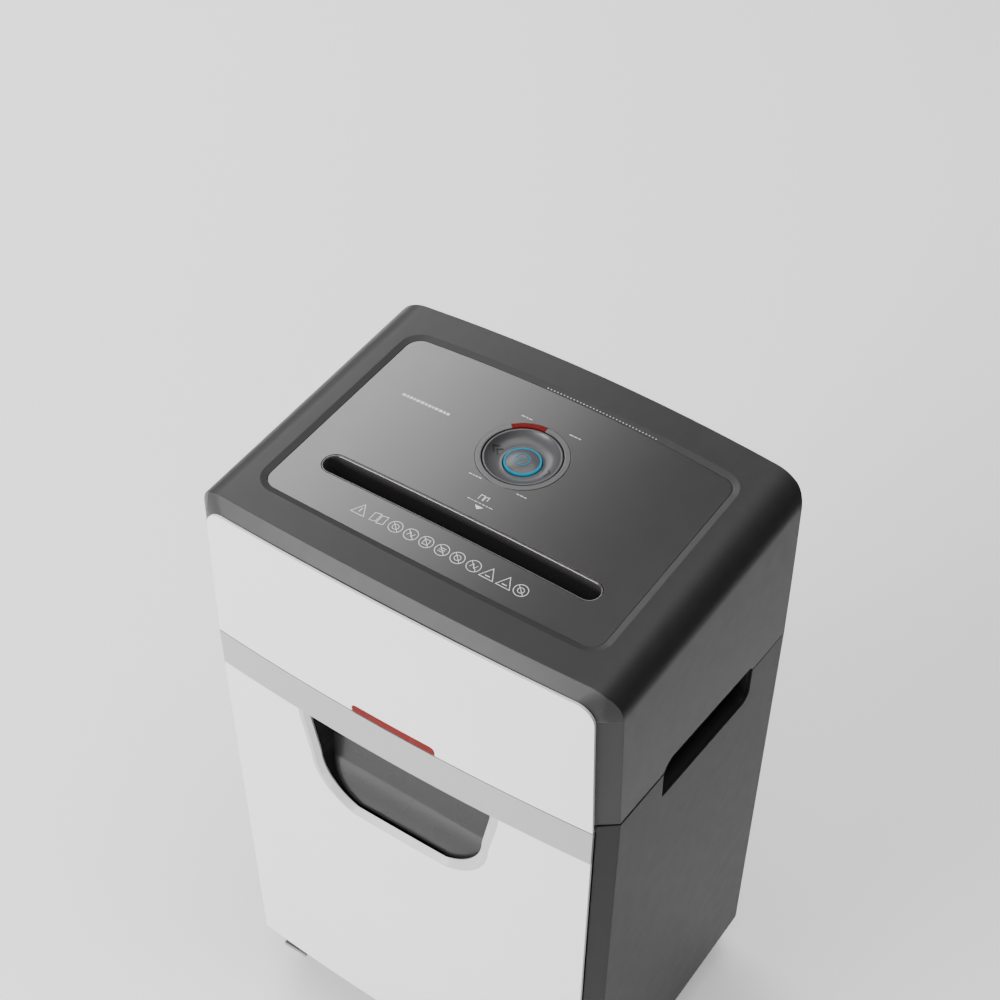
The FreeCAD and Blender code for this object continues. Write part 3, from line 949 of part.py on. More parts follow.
# -------------------------------------------------------------- casters
CX, CYS, WR, TR = F(cas_x), F(cas_y), F(wheel_r), F(trail)
names = {(-1, -1): "fl", (1, -1): "fr", (-1, 1): "bl", (1, 1): "br"}
for sx, sy in stem_pts:
    k = names[(sx, sy)]
    px, py = sx * cas_x, sy * cas_y
    # trail: the axle sits behind the swivel axis, so all four point backwards at rest
    ay = py + trail
    stem = cyl("stem_" + k, "Z", px, py, 46.0, 5.0, 25.5)
    disc = cyl("hood_plate_" + k, "Z", px, py, 46.0, 15.0, 7.0)
    web = cyl("hood_web_" + k, "X", px - 4.5, ay, wheel_r, 14.0, 9.0)
    neck = box("hood_neck_" + k, px - 4.5, px + 4.5, py - 6.0, py + 24.0, wheel_r, 47.0)
    parts = [stem, disc, web, neck]
    fend = cyl("hood_fender_" + k, "X", px - 20.0, ay, wheel_r, wheel_r + 3.4, 40.0)
    fend_i = cyl("hood_fender_in_" + k, "X", px - 21.0, ay, wheel_r, wheel_r + 1.2, 42.0)
    fend_lo = box("hood_fender_low_" + k, px - 30.0, px + 30.0, py - 60.0, py + 60.0, -10.0, 36.0)
    hood_f = cut("hood_guard_" + k, fend, fend_i, fend_lo)
    parts.append(hood_f)
    if sy < 0:
        parts.append(box("hood_nose_" + k, px - 4.5, px + 4.5, py - 17.0, py - 5.0, 36.0, 47.0))
        parts.append(cyl("brake_pin_" + k, "X", px - 9.0, py - 13.0, 40.0, 1.5, 18.0))
    hole = cyl("hood_axle_hole_" + k, "X", px - 10.0, ay, wheel_r, 3.0 + run, 20.0)
    piece(cut("hood_cut_" + k, fuse("hood_all_" + k, *parts), hole), "caster_hood_" + k)
    # wheel pair on one axle
    ws = []
    for i, off in enumerate((-19.5, 6.0)):
        prof = [(3.0, 0.0), (6.0, 0.0), (6.0, 1.5), (15.0, 1.5), (16.5, 0.0), (WR - 1.5, 0.0), (WR, 1.5), (WR, 12.0), (WR - 1.5, 13.5), (3.0, 13.5)]
        ws.append(turned("wheel_%s_%d" % (k, i), prof, "X", px + off, ay, wheel_r))
    ax = cyl("wheel_axle_" + k, "X", px - 19.0, ay, wheel_r, 3.0, 38.0)
    piece(fuse("wheels_" + k, ax, *ws), "caster_wheels_" + k)
    if sy < 0:
        pd = box("pedal_plate_" + k, px - 12.0, px + 12.0, py - 30.0, py - 18.2, 38.0, 42.0)
        ears = [box("pedal_ear_%s_%d" % (k, i), px + a, px + b, py - 19.0, py - 10.8, 37.0, 43.0) for i, (a, b) in enumerate(((-8.5, -4.8), (4.8, 8.5)))]
        pd_hole = cyl("pedal_hole_" + k, "X", px - 20.0, py - 13.0, 40.0, 1.5 + run, 40.0)
        piece(cut("pedal_cut_" + k, fuse("pedal_all_" + k, pd, *ears), pd_hole), "caster_brake_" + k)

# -------------------------------------------------------------- fasteners
screws = []
n = 0
for x, y in SCREWS:
    screws.append(fuse("screw_%d" % n, cyl("screw_head_%d" % n, "Z", x, y, deck_z - 2.5, 3.6, 2.5), cyl("screw_shank_%d" % n, "Z", x, y, deck_z - 0.1, 1.9, deck_t + 0.1)))
    n += 1
piece(group("screw_group", *screws), "casing_screws")
bs_list = []
for i, (x, z) in enumerate(BSC):
    yi = TF + 6.0 * (Z1 - z) / (Z1 - Z0) + TT + 0.15
    bs_list.append(fuse("bin_screw_%d" % i, cyl("bin_screw_head_%d" % i, "Y", x, yi, z, 3.6, 2.2), cyl("bin_screw_shank_%d" % i, "Y", x, TF - 6.0, z, 1.9, yi + 0.1 - TF + 6.0)))
piece(group("bin_screw_group", *bs_list), "bin_screws")

doc.recompute()

# screw holes follow the fasteners, so that the solids meet face to face
bad = []
for o in doc.Objects:
    st = [str(s_) for s_ in o.State]
    if "Invalid" in st or "Error" in st:
        bad.append((o.Name, o.Label, st))
if bad:
    print("FAILED OBJECTS", bad[:12])
for p in PIECES:
    s_ = p.Shape
    ok = (not s_.isNull()) and s_.isValid() and len(s_.Solids) > 0
    bb = s_.BoundBox if not s_.isNull() else None
    print("%-22s solids %3d valid %s faces %4d vol %10.1f  x %.1f %.1f y %.1f %.1f z %.1f %.1f" % (p.Label, len(s_.Solids), ok, len(s_.Faces), s_.Volume, bb.XMin, bb.XMax, bb.YMin, bb.YMax, bb.ZMin, bb.ZMax))
    if not ok:
        bad.append(p.Label)
if bad:
    raise RuntimeError("pieces failed: %s" % bad)
print("nodes", len(PIECES), "G2", G2, "G1", G1, "MO", MO)
assert len(PIECES) <= 60 and len({p.Label for p in PIECES}) == len(PIECES)
for p in PIECES:
    p.Shape.exportStep(os.path.join("parts", p.Label + ".step"))
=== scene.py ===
import json
import math
import random

import bpy
import bmesh
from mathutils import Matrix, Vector

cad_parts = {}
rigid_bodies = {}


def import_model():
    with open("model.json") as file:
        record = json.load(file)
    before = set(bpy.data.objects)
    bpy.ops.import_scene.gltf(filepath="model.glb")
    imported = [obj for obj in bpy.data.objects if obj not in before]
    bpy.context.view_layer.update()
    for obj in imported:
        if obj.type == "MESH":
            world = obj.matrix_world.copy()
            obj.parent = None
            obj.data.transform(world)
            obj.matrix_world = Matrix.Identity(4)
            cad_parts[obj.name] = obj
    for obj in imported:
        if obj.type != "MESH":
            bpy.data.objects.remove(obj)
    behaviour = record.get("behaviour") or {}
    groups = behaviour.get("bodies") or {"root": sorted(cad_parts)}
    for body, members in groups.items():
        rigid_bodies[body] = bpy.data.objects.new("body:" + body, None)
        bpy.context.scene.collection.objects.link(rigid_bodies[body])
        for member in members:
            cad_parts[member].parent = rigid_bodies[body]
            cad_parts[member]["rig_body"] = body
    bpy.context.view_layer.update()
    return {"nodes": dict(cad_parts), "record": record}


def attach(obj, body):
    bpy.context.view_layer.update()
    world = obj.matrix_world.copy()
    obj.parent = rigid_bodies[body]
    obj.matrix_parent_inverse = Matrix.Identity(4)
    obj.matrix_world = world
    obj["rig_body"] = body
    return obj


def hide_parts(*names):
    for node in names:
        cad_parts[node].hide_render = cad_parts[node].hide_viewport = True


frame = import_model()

MM = 0.001
nodes = frame["nodes"]

# ---------------------------------------------------------------- numbers of the object (mm)
TOP, HW, CROWN = 620.0, 185.3, 4.73
PW, PF, PB = 144.8, -96.6, 104.0
ZP = TOP - 1.9
SY, SL, SW = -49.6, 242.0, 20.9
CY = 33.2
YF = -138.0


def roof(x, y=0.0):
    """Height of the crowned lid over x."""
    return TOP - CROWN * (x / HW) ** 2


def deck(x):
    """Height of the inset panel over x."""
    return ZP - CROWN * (x / HW) ** 2


def front(x):
    """Front face of the white pieces at x."""
    return YF + 8.17 * (x / HW) ** 2


# ---------------------------------------------------------------- materials
def nt(name):
    m = bpy.data.materials.new(name)
    m.use_nodes = True
    t = m.node_tree
    b = t.nodes["Principled BSDF"]
    return m, t, b


def coords(t, scale=(1, 1, 1)):
    g = t.nodes.new("ShaderNodeNewGeometry")
    mp = t.nodes.new("ShaderNodeMapping")
    mp.inputs["Scale"].default_value = scale
    t.links.new(g.outputs["Position"], mp.inputs["Vector"])
    return mp.outputs["Vector"]


def noise(t, vec, scale, detail=3.0, rough=0.5):
    n = t.nodes.new("ShaderNodeTexNoise")
    n.inputs["Scale"].default_value = scale
    n.inputs["Detail"].default_value = detail
    n.inputs["Roughness"].default_value = rough
    t.links.new(vec, n.inputs["Vector"])
    return n.outputs["Fac"]


def remap(t, fac, a, b, lo=0.3, hi=0.7):
    r = t.nodes.new("ShaderNodeMapRange")
    r.inputs["From Min"].default_value = lo
    r.inputs["From Max"].default_value = hi
    r.inputs["To Min"].default_value = a
    r.inputs["To Max"].default_value = b
    t.links.new(fac, r.inputs["Value"])
    return r.outputs["Result"]


def tint(t, fac, c0, c1):
    m = t.nodes.new("ShaderNodeMix")
    m.data_type = "RGBA"
    t.links.new(fac, m.inputs["Factor"])
    m.inputs["A"].default_value = (*c0, 1)
    m.inputs["B"].default_value = (*c1, 1)
    return m.outputs["Result"]


def plastic(name, col, rough=0.45, var=0.06, grain=2600.0, depth=0.04, gloss=None, spec=0.5, wear=0.35, rvar=0.06, round_r=0.0):
    """Moulded plastic: a fine eroded grain, slow tone drift, patchy roughness and lighter rubbed edges."""
    m, t, b = nt(name)
    v = coords(t)
    slow = noise(t, v, 9.0, 4.0)
    mid = noise(t, v, 70.0, 5.0, 0.6)
    c = tint(t, remap(t, slow, 0, 1), tuple(x * (1 - var) for x in col), tuple(min(1, x * (1 + var)) for x in col))
    geo = t.nodes.new("ShaderNodeNewGeometry")
    edge = remap(t, geo.outputs["Pointiness"], 0.0, wear, 0.52, 0.60)
    mul = t.nodes.new("ShaderNodeMath")
    mul.operation = "MULTIPLY"
    t.links.new(edge, mul.inputs[0])
    t.links.new(mid, mul.inputs[1])
    e = t.nodes.new("ShaderNodeMix")
    e.data_type = "RGBA"
    t.links.new(mul.outputs[0], e.inputs["Factor"])
    t.links.new(c, e.inputs["A"])
    e.inputs["B"].default_value = (*[min(1, x * 1.5 + 0.03) for x in col], 1)
    t.links.new(e.outputs["Result"], b.inputs["Base Color"])
    t.links.new(remap(t, mid, rough - rvar, rough + rvar), b.inputs["Roughness"])
    b.inputs["Specular IOR Level"].default_value = spec
    if gloss:
        b.inputs["Coat Weight"].default_value = gloss
        b.inputs["Coat Roughness"].default_value = 0.12
    if depth:
        bump = t.nodes.new("ShaderNodeBump")
        if round_r:
            bev = t.nodes.new("ShaderNodeBevel")
            bev.samples = 6
            bev.inputs["Radius"].default_value = round_r
            t.links.new(bev.outputs["Normal"], bump.inputs["Normal"])
        bump.inputs["Strength"].default_value = depth * 4
        bump.inputs["Distance"].default_value = 0.00006
        t.links.new(noise(t, v, grain, 2.0), bump.inputs["Height"])
        t.links.new(bump.outputs["Normal"], b.inputs["Normal"])
    return m


def metal(name, col, rough=0.3, brushed=(1, 1, 1), oil=0.0):
    m, t, b = nt(name)
    v = coords(t, brushed)
    n1 = noise(t, v, 400.0, 4.0, 0.6)
    n2 = noise(t, coords(t), 25.0, 4.0)
    t.links.new(tint(t, remap(t, n2, 0, 1), tuple(x * 0.8 for x in col), col), b.inputs["Base Color"])
    t.links.new(remap(t, n1, rough - 0.1, rough + 0.12), b.inputs["Roughness"])
    b.inputs["Metallic"].default_value = 1.0
    if oil:
        b.inputs["Coat Weight"].default_value = oil
    bump = t.nodes.new("ShaderNodeBump")
    bump.inputs["Strength"].default_value = 0.25
    bump.inputs["Distance"].default_value = 0.00005
    t.links.new(n1, bump.inputs["Height"])
    t.links.new(bump.outputs["Normal"], b.inputs["Normal"])
    return m


def glow(name, col, strength, body=None, rough=0.35):
    m, t, b = nt(name)
    v = coords(t)
    n = noise(t, v, 160.0, 3.0)
    b.inputs["Base Color"].default_value = (*(body or col), 1)
    t.links.new(remap(t, n, rough - 0.06, rough + 0.08), b.inputs["Roughness"])
    c = tint(t, remap(t, n, 0, 1), tuple(x * 0.85 for x in col), col)
    t.links.new(c, b.inputs["Emission Color"])
    b.inputs["Emission Strength"].default_value = strength
    b.inputs["Specular IOR Level"].default_value = 0.12
    return m


M = {
    "casing": plastic("casing_grain", (0.028, 0.027, 0.028), 0.42, 0.03, 2600.0, 0.04, spec=0.24, wear=0.2, rvar=0.02, round_r=0.0009),
    "panel": plastic("panel_gloss", (0.020, 0.018, 0.018), 0.30, 0.04, 3000.0, 0.006, gloss=0.55, spec=0.6, wear=0.0, rvar=0.015, round_r=0.0005),
    "white": plastic("white_satin", (0.77, 0.77, 0.768), 0.38, 0.012, 2400.0, 0.02, gloss=0.15, wear=0.1),
    "silver": plastic("silver_satin", (0.32, 0.32, 0.322), 0.36, 0.02, 2400.0, 0.03, wear=0.25),
    "bezel": plastic("bezel_satin", (0.44, 0.44, 0.44), 0.34, 0.02, 2400.0, 0.02, wear=0.25),
    "black": plastic("black_moulded", (0.016, 0.016, 0.017), 0.42, 0.1, 2200.0, 0.06),
    "control": plastic("control_satin", (0.062, 0.061, 0.064), 0.40, 0.04, 2600.0, 0.01, gloss=0.12, wear=0.2, rvar=0.02),
    "ring": plastic("ring_grey", (0.06, 0.06, 0.062), 0.34, 0.03, 2600.0, 0.01, gloss=0.4, wear=0.5, rvar=0.03),
    "red_lens": glow("red_lens_lit", (0.30, 0.004, 0.003), 0.09, (0.12, 0.003, 0.002), 0.5),
    "blue_lens": glow("blue_lens_lit", (0.002, 0.24, 0.40), 0.75, (0.002, 0.10, 0.16), 0.5),
    "board": plastic("board_green", (0.02, 0.12, 0.045), 0.35, 0.2, 900.0, 0.1),
    "steel_plate": metal("zinc_plate", (0.52, 0.52, 0.53), 0.38),
    "steel": metal("turned_steel", (0.55, 0.55, 0.57), 0.27, (30, 1, 1)),
    "cutter_steel": metal("cutter_steel", (0.30, 0.30, 0.32), 0.34, (1, 1, 1), 0.3),
    "bronze": metal("sintered_bronze", (0.50, 0.32, 0.13), 0.45),
    "gear_nylon": plastic("gear_nylon", (0.74, 0.70, 0.60), 0.42, 0.04, 1500.0, 0.05),
    "base_plastic": plastic("base_moulded", (0.05, 0.05, 0.052), 0.5, 0.08, 1800.0, 0.08),
    "tub": plastic("tub_moulded", (0.045, 0.045, 0.047), 0.46, 0.03, 1800.0, 0.06, wear=0.2, rvar=0.03),
    "caster_black": plastic("caster_nylon", (0.022, 0.022, 0.023), 0.36, 0.1, 1500.0, 0.05),
    "tyre": plastic("wheel_tread", (0.028, 0.028, 0.028), 0.6, 0.15, 1100.0, 0.12),
    "brake": plastic("pedal_grey", (0.17, 0.17, 0.17), 0.4, 0.05, 2000.0, 0.04),
}


def smoked():
    m, t, b = nt("window_smoked")
    v = coords(t)
    n = noise(t, v, 26.0, 3.0)
    b.inputs["Specular IOR Level"].default_value = 0.3
    b.inputs["Base Color"].default_value = (0.016, 0.016, 0.017, 1)
    t.links.new(remap(t, n, 0.24, 0.32), b.inputs["Roughness"])
    b.inputs["Alpha"].default_value = 0.97
    b.inputs["Coat Weight"].default_value = 0.12
    b.inputs["Coat Roughness"].default_value = 0.12
    return m


M["window"] = smoked()
# darker, less shiny copy of the casing plastic with the same grain, used on the side panels: painted shade of the
# sides turned away from the key light
M["side"] = plastic("side_shaded_grain", (0.019, 0.0185, 0.0195), 0.44, 0.03, 2600.0, 0.04, spec=0.13, wear=0.2, rvar=0.02, round_r=0.0009)
M["throat"] = plastic("throat_satin", (0.040, 0.037, 0.038), 0.27, 0.05, 2400.0, 0.01, gloss=0.5, spec=0.7, wear=0.0, rvar=0.02)
PRINT = plastic("white_print", (0.74, 0.74, 0.74), 0.5, 0.02, 1500.0, 0.01, wear=0.0)
# light grey for the rim dots: a painted highlight standing for the glints of the vent holes
VENT_GLINT = plastic("vent_glint_painted", (0.36, 0.36, 0.365), 0.4, 0.02, 1500.0, 0.01, wear=0.0)
# near-black for the control's chevrons: painted shade of their grooves
GROOVE_SHADE = plastic("groove_painted_shade", (0.008, 0.008, 0.008), 0.6, 0.1, 1500.0, 0.05, wear=0.0)

slot_of = {s["node"]: s["material_slot"] for s in frame["record"]["subparts"]}
for name, o in nodes.items():
    m = M["throat"] if name == "feed_throat" else M["side"] if name.startswith("side_panel") else M[slot_of[name]]
    o.data.materials.clear()
    o.data.materials.append(m)


# ---------------------------------------------------------------- mesh tools
def make(name, verts, faces, mat, body="cabinet", smooth=False):
    me = bpy.data.meshes.new(name)
    me.from_pydata([tuple(c * MM for c in v) for v in verts], [], faces)
    me.validate()
    me.update()
    o = bpy.data.objects.new(name, me)
    bpy.context.scene.collection.objects.link(o)
    me.materials.append(mat)
    if smooth:
        for p in me.polygons:
            p.use_smooth = True
    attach(o, body)
    return o


def refined(node, body=None, width=0.6, seg=3, angle=32.0, warp=None):
    """A finer copy of a CAD piece: welded, its sharp edges rounded, shaded by angle."""
    src = nodes[node]
    me = src.data.copy()
    me.name = node + "_shown"
    o = bpy.data.objects.new(node + "_shown", me)
    bpy.context.scene.collection.objects.link(o)
    bm = bmesh.new()
    bm.from_mesh(me)
    bmesh.ops.remove_doubles(bm, verts=bm.verts, dist=0.000008)
    bmesh.ops.dissolve_degenerate(bm, edges=bm.edges, dist=0.000008)
    bmesh.ops.dissolve_limit(bm, angle_limit=math.radians(0.05), verts=bm.verts, edges=bm.edges)
    if warp:
        for v_ in bm.verts:
            v_.co = warp(v_.co)
    if not width:
        for e_ in bm.edges:
            e_.smooth = not (len(e_.link_faces) == 2 and e_.calc_face_angle(0.0) > math.radians(angle))
    bm.to_mesh(me)
    bm.free()
    for p in me.polygons:
        p.use_smooth = True
    if not width:
        wn = o.modifiers.new("weighted", "WEIGHTED_NORMAL")
        wn.mode = "FACE_AREA"
        wn.weight = 90
        wn.keep_sharp = True
        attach(o, body or src["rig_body"])
        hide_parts(node)
        return o
    bv = o.modifiers.new("soft_edges", "BEVEL")
    bv.width = width * MM
    bv.segments = seg
    bv.limit_method = "ANGLE"
    bv.angle_limit = math.radians(angle)
    bv.use_clamp_overlap = True
    bv.harden_normals = False
    wn = o.modifiers.new("weighted", "WEIGHTED_NORMAL")
    wn.mode = "FACE_AREA"
    wn.weight = 90
    wn.keep_sharp = True
    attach(o, body or src["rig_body"])
    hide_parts(node)
    return o


def band_outline(w, f, b, fs, bs, r, off=0.0, n=14):
    """Outline of a rounded rectangle with bowed front and back, grown by off."""
    w, f, b, r = w + off, f - off, b + off, r + off
    fy = lambda x: f + fs * (x / HW) ** 2
    by = lambda x: b - bs * (x / HW) ** 2
    pts = []
    for i in range(25):
        x = -(w - r) + 2 * (w - r) * i / 24
        pts.append((x, fy(x)))
    cx, cy = w - r, fy(w - r) + r
    for i in range(1, n):
        a = -math.pi / 2 + math.pi / 2 * i / n
        pts.append((cx + r * math.cos(a), cy + r * math.sin(a)))
    c2 = by(w - r) - r
    for i in range(0, n):
        a = math.pi / 2 * i / n
        pts.append((cx + r * math.cos(a), c2 + r * math.sin(a)))
    for i in range(25):
        x = (w - r) - 2 * (w - r) * i / 24
        pts.append((x, by(x)))
    for i in range(1, n):
        a = math.pi / 2 + math.pi / 2 * i / n
        pts.append((-cx + r * math.cos(a), c2 + r * math.sin(a)))
    for i in range(0, n):
        a = math.pi + math.pi / 2 * i / n
        pts.append((-cx + r * math.cos(a), cy + r * math.sin(a)))
    return pts


# ---------------------------------------------------------------- head casing with its wide chamfered rim
def toe_in(co):
    """The corner bevel beside the white front runs deeper and narrower than the plain chamfer."""
    x, y, z = co.x / MM, co.y / MM, co.z / MM
    a = min(1.0, max(0.0, (abs(x) - 171.0) / 15.0))
    back = min(1.0, max(0.0, (125.0 - y) / 241.0))
    x -= math.copysign(3.0 * a * back, x)
    if y < -100.0:
        y += 5.0 * a * min(1.0, (-100.0 - y) / 15.0)
    return Vector((x * MM, y * MM, z * MM))


casing = refined("head_casing", width=0, angle=22, warp=toe_in)
RIMW, RIMD = 5.4, 1.75
k = RIMD / RIMW
loops = []
for off, zf in ((-3.0, lambda x: 590.0), (-3.0, lambda x: roof(x) - RIMD - 3.0 * k), (RIMW + 1.0 / k, lambda x: roof(x) + 1.0), (RIMW + 1.0 / k, lambda x: 640.0)):
    loops.append([(x, y, zf(x)) for x, y in band_outline(PW + 0.3, PF - 0.3, PB + 0.3, 5.58, 9.04, 13.0, off)])
n = len(loops[0])
vs = [v for lp in loops for v in lp]
fs = [tuple(reversed(range(n))), tuple(range(3 * n, 4 * n))]
for a in range(3):
    for i in range(n):
        j = (i + 1) % n
        fs.append((a * n + i, a * n + j, (a + 1) * n + j, (a + 1) * n + i))
me = bpy.data.meshes.new("rim_cutter")
me.from_pydata([tuple(c * MM for c in v) for v in vs], [], fs)
me.update()
cutter = bpy.data.objects.new("rim_cutter", me)
bpy.context.scene.collection.objects.link(cutter)
bo = casing.modifiers.new("rim", "BOOLEAN")
bo.operation = "DIFFERENCE"
bo.object = cutter
bo.solver = "EXACT"
casing.modifiers.move(1, 0)
casing.modifiers["weighted"].show_viewport = False
bpy.context.view_layer.update()
cutmesh = bpy.data.meshes.new_from_object(casing.evaluated_get(bpy.context.evaluated_depsgraph_get()))
casing.modifiers.remove(casing.modifiers["rim"])
casing.data = cutmesh
casing.modifiers["weighted"].show_viewport = True
bmc = bmesh.new()
bmc.from_mesh(cutmesh)
bmesh.ops.remove_doubles(bmc, verts=bmc.verts, dist=0.000004)
for e_ in bmc.edges:
    e_.smooth = not (len(e_.link_faces) == 2 and e_.calc_face_angle(0.0) > math.radians(14))
bmc.to_mesh(cutmesh)
bmc.free()
for p in cutmesh.polygons:
    p.use_smooth = True
bpy.data.objects.remove(cutter)

# ---------------------------------------------------------------- other shells that show
for nm, w in (("top_panel", 0), ("front_panel", 0.8), ("front_light_bar", 0.5), ("status_ring", 0.2),
              ("status_light_red", 0.2), ("control_dish", 0.3), ("power_button", 0.2), 
              ("grip_cups", 0.8), ("back_panel", 0.6), ("bin_front", 0.6), ("bin_handle_bar", 0.6), ("window_bezel", 0.4), ("bin_window", 0),
              ("mains_switch_housing", 0.5), ("mains_rocker", 0.4), ("cable_gland", 0.5), ("base_plate", 0.8), ("head_base", 0.5), ("bin_rails", 0.4),
              ("gear_cover", 0.8), ("motor_can", 0.6), ("chassis_plate_left", 0.4), ("chassis_plate_right", 0.4), ("bin_tub", 0.7)):
    refined(nm, width=w, seg=2)
for nm in ("side_panel_left", "side_panel_right"):
    refined(nm, width=0, angle=22, warp=toe_in)
for kk in ("fl", "fr", "bl", "br"):
    refined("caster_hood_" + kk, width=0.5, seg=2)
    refined("caster_wheels_" + kk, width=0.3, seg=2)
for kk in ("fl", "fr"):
    refined("caster_brake_" + kk, width=0.5, seg=2)


# ---------------------------------------------------------------- feed throat with a rolled lip
def stad(l, w, m=40, n=18):
    """Slot outline of length l and width w, the same number of points at every size."""
    r, a = w / 2, l / 2 - w / 2
    p = [(-a + 2 * a * i / m, SY - r) for i in range(m)]
    p += [(a + r * math.sin(math.pi * i / n), SY - r * math.cos(math.pi * i / n)) for i in range(n)]
    p += [(a - 2 * a * i / m, SY + r) for i in range(m)]
    p += [(-a - r * math.sin(math.pi * i / n), SY + r * math.cos(math.pi * i / n)) for i in range(n)]
    return p


def flat(z):
    return lambda x: z


def near(dz):
    return lambda x: deck(x) + dz


rings = [(240.0, 12.0, flat(541.0)), (240.0, 17.0, flat(597.9)), (241.0, 19.4, flat(609.5)), (254.0, 34.0, flat(609.5)), (254.0, 34.0, flat(611.4)), (241.6, 20.4, flat(611.5)),
         (241.6, 20.5, near(-0.7)), (241.4, 20.3, near(-0.32)), (240.9, 19.8, near(-0.08)), (240.2, 19.1, near(0.0)), (239.4, 18.3, near(-0.1)), (238.7, 17.6, near(-0.45)), (238.2, 17.1, near(-1.0)), (237.9, 16.7, near(-1.9)),
         (236.9, 14.6, flat(610.6)), (235.6, 11.9, flat(604.0)), (234.0, 8.5, flat(595.9)), (234.0, 7.4, flat(570.0)), (234.0, 6.1, flat(541.0))]
V, Fc = [], []
for l, w_, zf in rings:
    V += [(x, y, zf(x)) for x, y in stad(l, w_)]
n = len(V) // len(rings)
for a in range(len(rings)):
    b = (a + 1) % len(rings)
    for i in range(n):
        j = (i + 1) % n
        Fc.append((a * n + i, a * n + j, b * n + j, b * n + i))
throat = make("feed_throat_shown", V, Fc, M["throat"], "cabinet", True)
bmt = bmesh.new()
bmt.from_mesh(throat.data)
bmesh.ops.recalc_face_normals(bmt, faces=bmt.faces)
for e_ in bmt.edges:
    e_.smooth = not (len(e_.link_faces) == 2 and e_.calc_face_angle(0.0) > math.radians(55))
bmt.to_mesh(throat.data)
bmt.free()
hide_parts("feed_throat")


# ---------------------------------------------------------------- printed marks and the painted highlights of the rim vents
def ribbon(pts, w, zf, verts, faces, closed=False):
    """A flat printed stroke of width w along pts."""
    m = len(pts)
    base = len(verts)
    for i, (x, y) in enumerate(pts):
        a = pts[(i - 1) % m] if (closed or i > 0) else pts[i]
        b = pts[(i + 1) % m] if (closed or i < m - 1) else pts[i]
        d0 = Vector((x - a[0], y - a[1]))
        d1 = Vector((b[0] - x, b[1] - y))
        d = (d0.normalized() if d0.length > 1e-9 else Vector((0, 0))) + (d1.normalized() if d1.length > 1e-9 else Vector((0, 0)))
        if d.length < 1e-6:
            d = Vector((1, 0))
        d.normalize()
        nn = Vector((-d.y, d.x))
        half = w / 2
        if d0.length > 1e-9 and d1.length > 1e-9:
            c = max(0.45, d.dot(d1.normalized()))
            half = half / c
        for s in (-1, 1):
            px, py = x + nn.x * half * s, y + nn.y * half * s
            verts.append((px, py, zf(px, py)))
    last = m if closed else m - 1
    for i in range(last):
        a = base + 2 * i
        b = base + 2 * ((i + 1) % m)
        faces.append((a, b, b + 1, a + 1))


def circle(cx, cy, r, n=40, a0=0.0, a1=360.0):
    full = abs(a1 - a0) >= 360
    c = n if full else n + 1
    return [(cx + r * math.cos(math.radians(a0 + (a1 - a0) * i / n)), cy + r * math.sin(math.radians(a0 + (a1 - a0) * i / n))) for i in range(c)]


on_panel = lambda x, y: deck(x) + 0.06
V, Fc = [], []
R = 5.4
LW = 0.5


def tri(cx, cy, r):
    return [(cx, cy + r), (cx - r * 0.98, cy - r * 0.78), (cx + r * 0.98, cy - r * 0.78)]


icon_x = (-66.0, -49.8, -35.0, -21.5, -8.1, 5.5, 18.9, 32.7, 45.8, 60.0, 72.5)
IY = -77.3
for i, x in enumerate(icon_x):
    if i in (0, 8, 9):
        ribbon(tri(x, IY, 5.9), LW, on_panel, V, Fc, True)
        ribbon([(x - 2.0, IY - 2.2), (x + 2.0, IY - 2.2)] if i else [(x, IY + 2.2), (x, IY - 2.2)], 0.7, on_panel, V, Fc)
    elif i == 1:
        for dx in (-5.6, 0.6):
            ribbon([(x + dx, IY - 4.6), (x + dx + 5.0, IY - 3.6), (x + dx + 5.0, IY + 4.6), (x + dx, IY + 3.6)], LW, on_panel, V, Fc, True)
    else:
        ribbon(circle(x, IY, R), LW, on_panel, V, Fc, True)
        kind = i % 4
        if kind == 0:
            ribbon([(x - 2.2, IY - 2.6), (x + 2.2, IY - 2.6), (x + 2.2, IY + 2.6), (x - 2.2, IY + 2.6)], 0.42, on_panel, V, Fc, True)
        elif kind == 1:
            for dy in (-1.8, 0.0, 1.8):
                ribbon([(x - 2.6, IY + dy), (x + 2.6, IY + dy)], 0.42, on_panel, V, Fc)
        elif kind == 2:
            ribbon(circle(x, IY, 2.5, 20), 0.42, on_panel, V, Fc, True)
        else:
            ribbon([(x - 2.8, IY - 1.6), (x - 0.9, IY + 1.8), (x + 0.9, IY - 1.8), (x + 2.8, IY + 1.6)], 0.42, on_panel, V, Fc)
        ribbon([(x - R * 0.7, IY + R * 0.7), (x + R * 0.7, IY - R * 0.7)], 0.42, on_panel, V, Fc)
# sheet symbol and feed arrow behind the paper mouth
ribbon([(-2.4, -21.4), (-2.4, -16.4), (1.0, -16.4), (1.0, -21.4)], 0.55, on_panel, V, Fc)
ribbon([(1.8, -21.4), (1.8, -17.0), (4.6, -16.2), (4.6, -20.2)], 0.55, on_panel, V, Fc)
b0 = len(V)
for x, y in ((-0.9, -27.2), (6.3, -27.2), (2.7, -30.6)):
    V.append((x, y, on_panel(x, y)))
Fc.append((b0, b0 + 2, b0 + 1))


def dashes(x0, x1, y, widths, h=0.75, gap=0.9):
    """A plain row of bars where the real one has small print."""
    x = x0
    i = 0
    while x < x1 - 0.2:
        w = min(widths[i % len(widths)], x1 - x)
        ribbon([(x, y), (x + w, y)], h, on_panel, V, Fc)
        x += w + gap
        i += 1


dashes(-9.5, 12.5, -24.4, (2.6, 1.6, 3.2, 2.2), 0.55, 0.8)
dashes(-25.0, -15.5, 69.5, (3.0, 2.0), 0.7, 0.7)
dashes(16.0, 26.0, 72.0, (3.6, 2.6), 0.7, 0.7)
dashes(18.0, 27.0, -1.5, (2.2, 2.6), 0.7, 0.7)
dashes(-23.0, -12.0, -3.0, (2.6, 1.8, 2.2), 0.7, 0.7)
marks = make("panel_print", V, Fc, PRINT, "cabinet", False)
